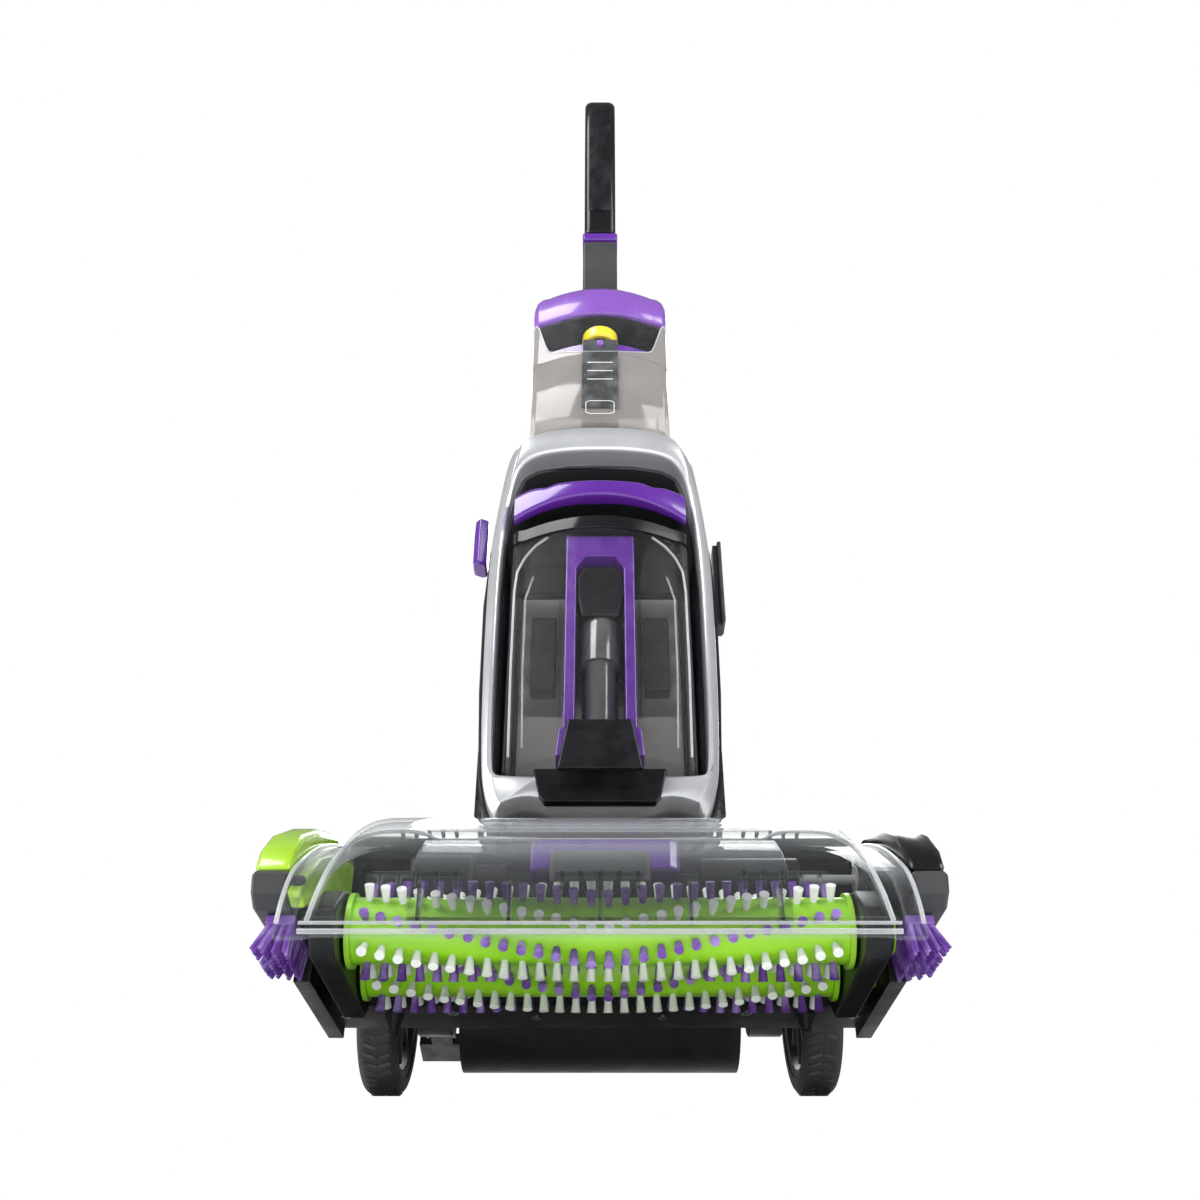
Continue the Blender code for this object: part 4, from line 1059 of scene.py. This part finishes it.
def movedIn(outline, amount):
    count = len(outline)
    area = sum(outline[i - 1][0] * outline[i][1] - outline[i][0] * outline[i - 1][1] for i in range(count))
    way = amount if area > 0 else -amount
    made = []
    for i, (u, v) in enumerate(outline):
        (u0, v0), (u1, v1) = outline[i - 1], outline[(i + 1) % count]
        run = math.hypot(u1 - u0, v1 - v0)
        made.append((u - (v1 - v0) / run * way, v + (u1 - u0) / run * way))
    return made


def makeArch():
    outer = spaced(softened(mirrored(arch["outer"])), arch["points"])
    inner = spaced(softened(mirrored(arch["inner"])), arch["points"])
    back, front = arch["back"], arch["front"]

    def leaned(u, y, v):
        # the crest comes forward, while the back stays flat
        share = max(0.0, (back - y) / (back - front))
        return u, y - eased(0.0, arch["lean"], (v - arch["leanFrom"]) / arch["leanOver"]) * share, v

    steps = [(outer, amount, y) for amount, y in arch["outerSteps"]]
    steps += [(inner, amount, y) for amount, y in arch["innerSteps"]]
    rings = [[leaned(u, y, v) for u, v in movedIn(line, amount)] for line, amount, y in steps]
    piece = lofted("silver_arch_face", rings, paintSilver, closed=True)
    piece.data.set_sharp_from_angle(angle=math.radians(50))
    place(piece, "upright", slotOf["silver_arch"], "silver_arch")


makeArch()


# Violet grip of the recovery tank: a crescent that follows the bowed lid

grip = {
    "half": 74.0,
    "front": 3.5,
    "depth": 17.0,
    "thinning": 0.35,  # share of the depth lost at the ends
    "bow": 15.0,
    "steps": 48,
    "low": 447.0,
    "lowRise": 16.5,
    "high": 481.0,
    "highDrop": 7.0,
    "dip": (2.6, 0.63, 0.09),  # depth, place and width as shares of the half
    "sides": 24,
    "squareness": 0.45,
}


def bulged(value):
    return math.copysign(abs(value) ** grip["squareness"], value)


def makeGrip():
    half = grip["half"]
    dip, dipAt, dipWidth = grip["dip"]
    rings = []
    for i in range(grip["steps"] + 1):
        x = -half + 2 * half * i / grip["steps"]
        t = abs(x) / half
        y = grip["front"] + grip["bow"] * t * t
        low = grip["low"] + grip["lowRise"] * (1 - t ** 2.2)
        high = grip["high"] - grip["highDrop"] * t ** 5 - dip * math.exp(-((t - dipAt) / dipWidth) ** 2)
        depth = grip["depth"] * (1 - grip["thinning"] * t)
        middle, reach = (low + high) / 2, (high - low) / 2
        turns = [2 * math.pi * k / grip["sides"] for k in range(grip["sides"])]
        rings.append([(x, y + depth / 2 * (1 - bulged(math.cos(a))), middle + reach * bulged(math.sin(a)))
                      for a in turns])
    place(lofted("tank_grip", rings, glossViolet), "recovery_tank", slotOf["tank_handle"], "tank_handle")


makeGrip()


# Handle loop with rounded sides, and the creased panel along its front

loop = {
    "outer": [(97, 925), (98, 924.8), (131, 924.8), (132, 925), (140, 960), (150, 1020), (152, 1066),
              (142, 1098), (120, 1114), (92, 1118.2), (66, 1117.4), (54, 1110), (52, 1090), (57, 1060),
              (68, 1010), (86, 955)],
    "hole": [(106, 962), (121, 962), (133, 1022), (134, 1062), (127, 1084), (112, 1095), (92, 1098),
             (78, 1095), (73, 1084), (76, 1064), (86, 1016)],
    "points": 180,
    "outerRound": [(7.0, 17.5), (4.6, 17.1), (2.6, 15.9), (1.0, 13.8), (0.0, 10.5)],  # moved in, x
    "holeRound": [(-4.0, 17.5), (-1.4, 16.4), (0.0, 13.6)],
    "panelFrom": 950.0,
    "panelTo": 1092.0,
    "panelBehind": 96,
    "panel": [(-13.0, -1.4), (-12.0, 0.5), (0.0, 2.4), (12.0, 0.5), (13.0, -1.4), (10.0, -2.6),
              (-10.0, -2.6)],  # x, how far it stands out
}


def makeLoop():
    outer = spaced(softened(loop["outer"]), loop["points"])
    hole = spaced(softened(loop["hole"]), loop["points"])
    outside, inside = loop["outerRound"], loop["holeRound"]
    steps = [(outer, cut, -x) for cut, x in outside] + [(outer, cut, x) for cut, x in outside[::-1]]
    steps += [(hole, cut, x) for cut, x in inside] + [(hole, cut, -x) for cut, x in inside[::-1]]
    rings = [[(x, y, z) for y, z in movedIn(line, cut)] for line, cut, x in steps]
    piece = lofted("handle_loop_shell", rings, glossBlack, closed=True)
    place(piece, "upright", slotOf["handle_loop"], "handle_loop")
    lines = [(x, movedIn(outer, -out)) for x, out in loop["panel"]]
    along = [i for i, (y, z) in enumerate(outer)
             if y < loop["panelBehind"] and loop["panelFrom"] < z < loop["panelTo"]]
    rows = [[(x, *line[i]) for x, line in lines] for i in along]
    place(lofted("loop_front_panel", rows, glossBlack), "upright", slotOf["grip_panel"], "grip_panel")


makeLoop()
print("arch, grip and loop ready")


# Pieces whose frame shape is right: rounded edges and a finish

plainPieces = [  # node, finish, rounding
    ("foot_chassis", satinBlack, 1.0), ("foot_cover", glossBlack, 2.2), ("chamber_liner", grainGraphite, 0.6),
    ("end_cover_left", glossLime, 3.0), ("end_cover_right", glossBlack, 3.0),
    ("end_base_left", grainGraphite, 1.6), ("end_base_right", grainGraphite, 1.6),
    ("bearing_block_left", satinBlack, 0.8), ("bearing_block_right", satinBlack, 0.8),
    ("brush_motor", satinBlack, 1.0), ("drive_belt", softRubber, 0.0), ("heater_cover", glossViolet, 1.5),
    ("spray_manifold", grainGraphite, 1.0), ("water_pump", satinBlack, 1.0), ("motor_pulley", warmGrey, 0.4),
    ("recline_pedal", satinBlack, 1.2), ("motor_housing", satinBlack, 2.0),
    ("suction_motor", brushedSteel, 1.0), ("suction_fan", warmGrey, 0.4),
    ("rear_housing", satinBlack, 3.5), ("rear_panel", glossBlack, 2.0),
    ("bay_liner", grainGraphite, 0.8), ("suction_duct", warmGrey, 0.8), ("hose_rest", grainGraphite, 1.2),
    ("handle_stem", grainGraphite, 1.8), ("handle_collar", glossViolet, 1.2),
    ("spray_trigger", glossViolet, 1.5), ("cord_hook_upper", satinBlack, 1.2),
    ("power_switch", warmGrey, 0.8), ("heat_switch", warmGrey, 0.8), ("tank_shell", smokeShell, 1.2),
    ("tank_lid", glossBlack, 1.4), ("tank_stack", glossViolet, 1.0), ("inlet_tube", smokeTube, 0.8),
    ("separator_cone", satinBlack, 0.8), ("tank_float", glossYellow, 0.8),
    ]
for node, finish, width in plainPieces:
    refined(node, finish, width, 3 if width >= 3 else 2)
print("frame pieces rounded")


# Recovery tank: violet frame, duct hood and pipe at its front, the two plates, and what shows inside

tankFront = {
    "frameHalf": [(28.5, 425.6), (28.5, 242), (32, 240), (34, 217), (19.5, 217), (19.5, 392), (12, 404)],
    "frameDepth": (12.5, 57.0),
    "ductHalf": [(14.5, 397), (19, 386), (19, 366), (15.5, 347)],
    "ductDepth": (17.0, 57.0),
    "pipe": [(217, 0), (217, 12.4), (304, 12.4), (307, 13.4), (308, 16), (343, 16.4), (347, 15.2), (347, 0)],
    "pipeAt": (0, 35),
    "badge": [(-31.5, 199.5), (31.5, 199.5), (24, 241), (-24, 241)],
    "badgeDepth": (-1.4, 3.6),
    "plate": [(-50.5, 209.6), (50.5, 209.6), (45.5, 188), (41, 182), (-41, 182), (-45.5, 188)],
    "plateDepth": (18.4, 27.6),
}


def flipped(half):
    return half + [(-x, z) for x, z in half[::-1]]


def makeTankFront():
    body = "recovery_tank"
    frameLine = flipped(tankFront["frameHalf"])
    place(plate("stack_front", "y", frameLine, *tankFront["frameDepth"], glossViolet, 1.4), body, "purple")
    ductLine = flipped(tankFront["ductHalf"])
    place(plate("duct_hood", "y", ductLine, *tankFront["ductDepth"], glossBlack, 2.4, 3), body, "black")
    pipe = turnedShape("front_pipe", "z", tankFront["pipe"], tankFront["pipeAt"], smokeTube, 64)
    place(pipe, body, "smoke")
    badge = plate("badge_plate", "y", tankFront["badge"], *tankFront["badgeDepth"], glossBlack, 1.2, 3)
    place(badge, body, slotOf["tank_badge"], "tank_badge")
    sign = plate("plate_front", "y", tankFront["plate"], *tankFront["plateDepth"], glossBlack, 1.4, 3)
    place(sign, "upright", slotOf["name_plate"], "name_plate")


tankInside = {
    "shoulder": [(70, 222), (71.2, 300), (71.2, 376), (69.5, 396), (64, 410), (55, 419), (44, 424)],
    "shoulderDepth": (2.9, 21.5),  # at the middle, and how far it falls back towards the side
    "shoulderRadius": 1.0,
    "inner": [(60, 232), (62, 300), (62, 372), (56, 392)],
    "innerDepth": (12, 18),
    "innerRadius": 0.8,
    "bowAt": 63,
    "back": ((-70, 70), (104.5, 107.5), (219, 424)),
    "sleeve": [(300, 19.6), (300, 21.4), (364, 21.4), (364, 19.6)],
    "sleeveAt": (0, 71),
    "shelves": 4,
    "shelfAt": (51, 84, 300),
    "shelfGap": 31,
    "shelfSize": (34, 30, 2.0),
    "baffle": ((33, 35), (62, 104), (300, 410)),
    "box": ((38, 60), (86, 103), (318, 392)),
}


def makeTankInside():
    body, slot = "recovery_tank", "smoke"
    bowAt = tankInside["bowAt"]
    for side in (-1, 1):
        tag = "left" if side < 0 else "right"
        # whitish clear lines down the tank's shoulders and inner corners: painted highlight lines
        front, fall = tankInside["shoulderDepth"]
        spots = [(side * x, front + fall * min(1.0, x / bowAt) ** 2, z) for x, z in tankInside["shoulder"]]
        line = tube(f"tank_shoulder_line_{tag}", spots, tankInside["shoulderRadius"], clearEdgePaintedHighlight)
        place(line, body, slot)
        front, fall = tankInside["innerDepth"]
        spots = [(side * x, front + fall * (x / bowAt) ** 2, z) for x, z in tankInside["inner"]]
        line = tube(f"tank_inner_line_{tag}", spots, tankInside["innerRadius"], clearEdgePaintedHighlight)
        place(line, body, slot)
    place(block("tank_back_wall", *tankInside["back"], tankGrey, 1.2), body, "grey")
    sleeve = turnedShape("tube_sleeve", "z", tankInside["sleeve"], tankInside["sleeveAt"], clearShell, 64)
    place(rounded(sleeve, 0.4), body, slot)
    x, y, z = tankInside["shelfAt"]
    for side in (-1, 1):
        tag = "left" if side < 0 else "right"
        shelves = bars(f"tank_shelves_{tag}", clearShell, tankInside["shelves"], (side * x, y, z),
                       (0, 0, tankInside["shelfGap"]), tankInside["shelfSize"])
        place(shelves, body, slot)
        across, along, up = tankInside["baffle"]
        wall = block(f"tank_baffle_{tag}", sorted(side * a for a in across), along, up, clearShell, 0.4)
        place(wall, body, slot)
        across, along, up = tankInside["box"]
        across = sorted(side * a for a in across)
        darkBox = block(f"tank_dark_box_{tag}", across, along, up, satinBlack, 2.0)
        place(darkBox, body, "black")


# Clean-water tank: bowed wall, window under the lilac cap, and what shows in it

cleanTank = {
    "plan": (65, 21, 34, 112, 12),  # half width, front, shoulder, back, corner
    "floor": 563.2,
    "deck": 654.0,
    "rim": 708.0,
    "cap": 748.0,
    "wall": 2.6,
    "climb": 11.0,  # how far the window's lower edge rises over its flat part
    "flatPart": 0.8,
    "cornerFrom": 0.74,
    "cornerOver": 0.24,
}


def roundPlan(half, front, shoulder, back, corner, inset=0.0):
    # a tank's outline from above, with a bowed front
    half, front, shoulder, back = half - inset, front + inset, shoulder + inset, back - inset
    inX = half - corner
    points = [(inX * i / 16, front + (shoulder - front) * (i / 16) ** 2) for i in range(-16, 17)]
    corners = [(inX, shoulder + corner, -58, 0), (inX, back - corner, 0, 90),
               (-inX, back - corner, 90, 180), (-inX, shoulder + corner, 180, 238)]
    for middleX, middleY, start, end in corners:
        for i in range(9):
            a = math.radians(start + (end - start) * i / 8)
            points.append((middleX + corner * math.cos(a), middleY + corner * math.sin(a)))
    return points


def makeCleanTank():
    body, size = "clean_tank", cleanTank["plan"]
    low, deck, rim, top, wall = (cleanTank[k] for k in ("floor", "deck", "rim", "cap", "wall"))
    climb, flat = cleanTank["climb"], cleanTank["flatPart"]

    def ring(z, inset=0.0):
        return [(x, y, z) for x, y in roundPlan(*size, inset)]

    def brim(inset, fixed):
        # the grey wall climbs towards the sides, so the window has a rounded lower edge
        made = []
        for x, y in roundPlan(*size, inset):
            side = abs(x) / size[0]
            share = (side - cleanTank["cornerFrom"]) / cleanTank["cornerOver"]
            corner = eased(0.0, rim - deck - climb - 1, share)
            made.append((x, y, fixed if fixed else deck + climb * min(1.0, side / flat) ** 2 + corner))
        return made

    foot = [(low, 2.2), (low + 0.7, 0.9), (low + 2.4, 0.0), (deck - 1.0, 0.0), (deck - 0.2, 0.5)]
    shell = lofted("clean_tank_wall", [ring(z, inset) for z, inset in foot], greyShell)
    place(shell, body, "smoke", "clean_shell")
    sides = [(deck, 0.0), (rim, 0.0), (rim, wall), (deck, wall)]
    window = lofted("clean_window_wall", [ring(z, inset) for z, inset in sides], clearShell, closed=True)
    place(window, body, "clear")
    collar = [brim(-0.25, deck - 1.5), brim(-0.25, 0), brim(wall + 0.2, 0), brim(wall + 0.2, deck - 1.5)]
    place(lofted("clean_window_brim", collar, greyShell, closed=True), body, "smoke")
    # a whitish clear line along the window's lower edge: painted highlight
    place(tube("clean_window_line", brim(-0.4, 0), 0.7, clearEdgePaintedHighlight, 4, True), body, "clear")
    trayRings = [(deck + 0.2, 3.4), (deck + 15, 3.4), (deck + 16, 4.4)]
    tray = lofted("clean_tray", [ring(z, inset) for z, inset in trayRings], glossViolet)
    place(tray, body, "purple", "clean_deck")
    place(lofted("clean_ceiling", [ring(rim - 2.5, 3.4), ring(rim, 3.4)], satinBlack), body, "black")
    band = [(rim + 0.3, 1.4), (rim + 1.2, 0.3), (rim + 3, -0.4), (rim + 16, -1.0),
            (top - 14, -0.6), (top - 6, 0.8), (top - 2, 2.6), (top, 5.4)]
    capBand = lofted("cap_band", [ring(z, inset) for z, inset in band], lilacBand)
    place(capBand, body, slotOf["clean_cap"], "clean_cap")
    crown = [(top + 0.2, 6.2), (top + 3, 6.4), (top + 5.4, 8.6), (top + 6.8, 12)]
    capCrown = lofted("cap_crown", [ring(z, inset) for z, inset in crown], grainGraphite)
    place(capCrown, body, slotOf["cap_lid"], "cap_lid")


cleanDetails = {
    "band": ((-17, 17), (19.4, 20.8), (580, 653)),
    "column": ((-16.4, 16.4), (24, 27), (655, 674)),
    "windowBack": ((-57, 57), (73, 76.5), (658, 702)),
    "valveBox": ((27, 52), (52, 70), (668, 690)),
    "levels": 3,
    "levelAt": (0, 19.1, 616),
    "levelGap": 11,
    "levelSize": (24, 0.4, 0.7),
    "fillerAt": (0, 44),
    "fillerRing": [(685, 11), (684, 15.2), (686, 17.4), (696, 17.4), (697.5, 15.4), (697, 11)],
    "fillerEye": [(685.6, 0), (685.6, 11.4), (694, 11.4), (694, 0)],
    "fillerDot": [(684.2, 0), (684.4, 1.6), (685.8, 2.8), (685.8, 0)],
    "fillerStem": [(668.4, 0), (668.4, 9), (685.4, 9), (685.4, 0)],
    "ballAt": (0, 23.8),
    "ballHeight": 668,
    "ballRadius": 4,
    "markAt": (19.0, 580),
    "markSize": (13, 8),
    "markSquareness": 1.25,
    "markPoints": 40,
    "markRadius": 0.35,
}


def squared(value):
    return math.copysign(min(1, abs(cleanDetails["markSquareness"] * value)), value)


def makeCleanTankDetails():
    body, filler = "clean_tank", cleanDetails["fillerAt"]
    place(block("clean_centre_band", *cleanDetails["band"], grainGraphite, 0.3, 1), body, "graphite")
    place(block("clean_column", *cleanDetails["column"], grainGraphite, 0.6), body, "graphite")
    place(block("clean_window_back", *cleanDetails["windowBack"], glossBlack, 0.8), body, "black")
    place(block("clean_valve_box", *cleanDetails["valveBox"], glossBlack, 1.6), body, "black")
    levels = bars("clean_level_lines", nylonWhite, cleanDetails["levels"], cleanDetails["levelAt"],
                  (0, 0, cleanDetails["levelGap"]), cleanDetails["levelSize"])
    place(levels, body, "grey")
    ring = turnedShape("filler_ring", "z", cleanDetails["fillerRing"], filler, glossYellow, 64)
    place(rounded(ring, 0.5), "cap", "yellow", "fill_cap")
    eye = turnedShape("filler_eye", "z", cleanDetails["fillerEye"], filler, satinBlack, 48)
    place(eye, "cap", "black")
    dot = turnedShape("filler_dot", "z", cleanDetails["fillerDot"], filler, glossYellow, 24)
    place(dot, "cap", "yellow")
    stem = turnedShape("filler_stem", "z", cleanDetails["fillerStem"], filler, satinBlack, 32)
    place(stem, "cap", "black")
    middle, radius = cleanDetails["ballHeight"], cleanDetails["ballRadius"]
    turns = [math.pi * i / 12 for i in range(13)]
    profile = [(middle - radius * math.cos(a), radius * math.sin(a)) for a in turns]
    ball = turnedShape("valve_ball", "z", profile, cleanDetails["ballAt"], lilacBand, 32)
    y, z = cleanDetails["markAt"]
    wide, high = cleanDetails["markSize"]
    turns = [2 * math.pi * i / cleanDetails["markPoints"] for i in range(cleanDetails["markPoints"])]
    mark = [(wide * squared(math.cos(a)), y, z + high * squared(math.sin(a))) for a in turns]
    place(tube("clean_frame_line", mark, cleanDetails["markRadius"], nylonWhite, 2, True), body, "grey")
    place(ball, body, "purple")


hoseClip = {
    "rows": [(437, 2.0), (440, 0.3), (470, 0.0), (485, 0.6), (488, 2.2)],  # height, how much it narrows
    "outline": [(-100.8, 69), (-100.8, 90), (-105.5, 91.6), (-113.2, 87), (-113.2, 70), (-108, 65.4)],
    "middle": (-107, 79),
    "narrowing": (12, 14),
}


def makeHoseClip():
    (middleX, middleY), (overX, overY) = hoseClip["middle"], hoseClip["narrowing"]
    rings = [[(middleX + (x - middleX) * (1 - cut / overX), middleY + (y - middleY) * (1 - cut / overY), z)
              for x, y in hoseClip["outline"]] for z, cut in hoseClip["rows"]]
    clip = rounded(lofted("hose_clip_body", rings, glossViolet), 1.0)
    place(clip, "upright", slotOf["hose_clip"], "hose_clip")


makeTankFront()
makeTankInside()
makeCleanTank()
makeCleanTankDetails()
makeHoseClip()
print("tank details ready")


# Back, sides and underside: vents, ribs, screws and axle caps

backDetails = {
    # count, start, step, size and tilt of each row
    "backVents": (9, (0, 194.3, 300), (0, 0, 7.2), (104, 1.6, 3.0), (24, 0, 0)),
    "sideVents": (10, (100.2, 98, 236), (0, 8.0, 0), (1.2, 3.2, 58)),
    "coverRibs": (5, (96, -34, 126.6), 9, (2.4, 30, 1.6), (-6, 0, 0)),
    "backScrews": (78, 194.0, (236, 352, 462)),
    "crestScrew": (0, 194.0, 545),
    "baseScrews": [(40, -20), (92, -30), (160, -24)],
    "baseHeight": 14.0,
    "endScrews": [(-150, 56), (-30, 60)],
    "endAt": 188.2,
    "shieldScrew": ((-162.5, -183.6, 38.5), (0, -0.76, 0.65)),
    "axleCap": [(171.0, 0.0), (171.0, 13.0), (173.0, 12.6), (174.4, 10), (174.8, 0.0)],
}


def makeBackDetails():
    sides = (-1, 1)
    count, start, step, size, tilt = backDetails["backVents"]
    place(bars("back_vents", glossBlack, count, start, step, size, tilt), "upright", "black")
    for side in sides:
        tag = "left" if side < 0 else "right"
        count, (x, y, z), step, size = backDetails["sideVents"]
        vents = bars(f"side_vents_{tag}", glossBlack, count, (side * x, y, z), step, size)
        place(vents, "upright", "black")
        count, (x, y, z), gap, size, tilt = backDetails["coverRibs"]
        ribs = bars(f"cover_ribs_{tag}", glossBlack, count, (side * x, y, z), (side * gap, 0, 0), size, tilt)
        place(ribs, "foot", "black")
    x, y, heights = backDetails["backScrews"]
    back = [((side * x, y, z), (0, 1, 0)) for side in sides for z in heights]
    back.append((backDetails["crestScrew"], (0, 1, 0)))
    place(screws("back_screws", brushedSteel, back, 3.4, 2.0), "upright", "steel")
    height = backDetails["baseHeight"]
    under = [((side * x, y, height), (0, 0, -1)) for side in sides for x, y in backDetails["baseScrews"]]
    place(screws("base_screws", brushedSteel, under, 3.6, 2.0), "foot", "steel")
    far = backDetails["endAt"]
    ends = [((side * far, y, z), (side, 0, 0)) for side in sides for y, z in backDetails["endScrews"]]
    place(screws("end_screws", satinBlack, ends, 4.6, 1.8), "foot", "black")
    place(screws("shield_screw", satinBlack, [backDetails["shieldScrew"]], 4.2, 2.2), "foot", "black")
    for side in sides:
        tag = "left" if side < 0 else "right"
        profile = [(side * a, r) for a, r in backDetails["axleCap"]]
        cap = turnedShape(f"axle_cap_{tag}", "x", profile, wheel["axle"], satinBlack, 48)
        place(cap, f"{tag}_wheel", slotOf[f"hub_{tag}"])


makeBackDetails()
print("back and side details ready")
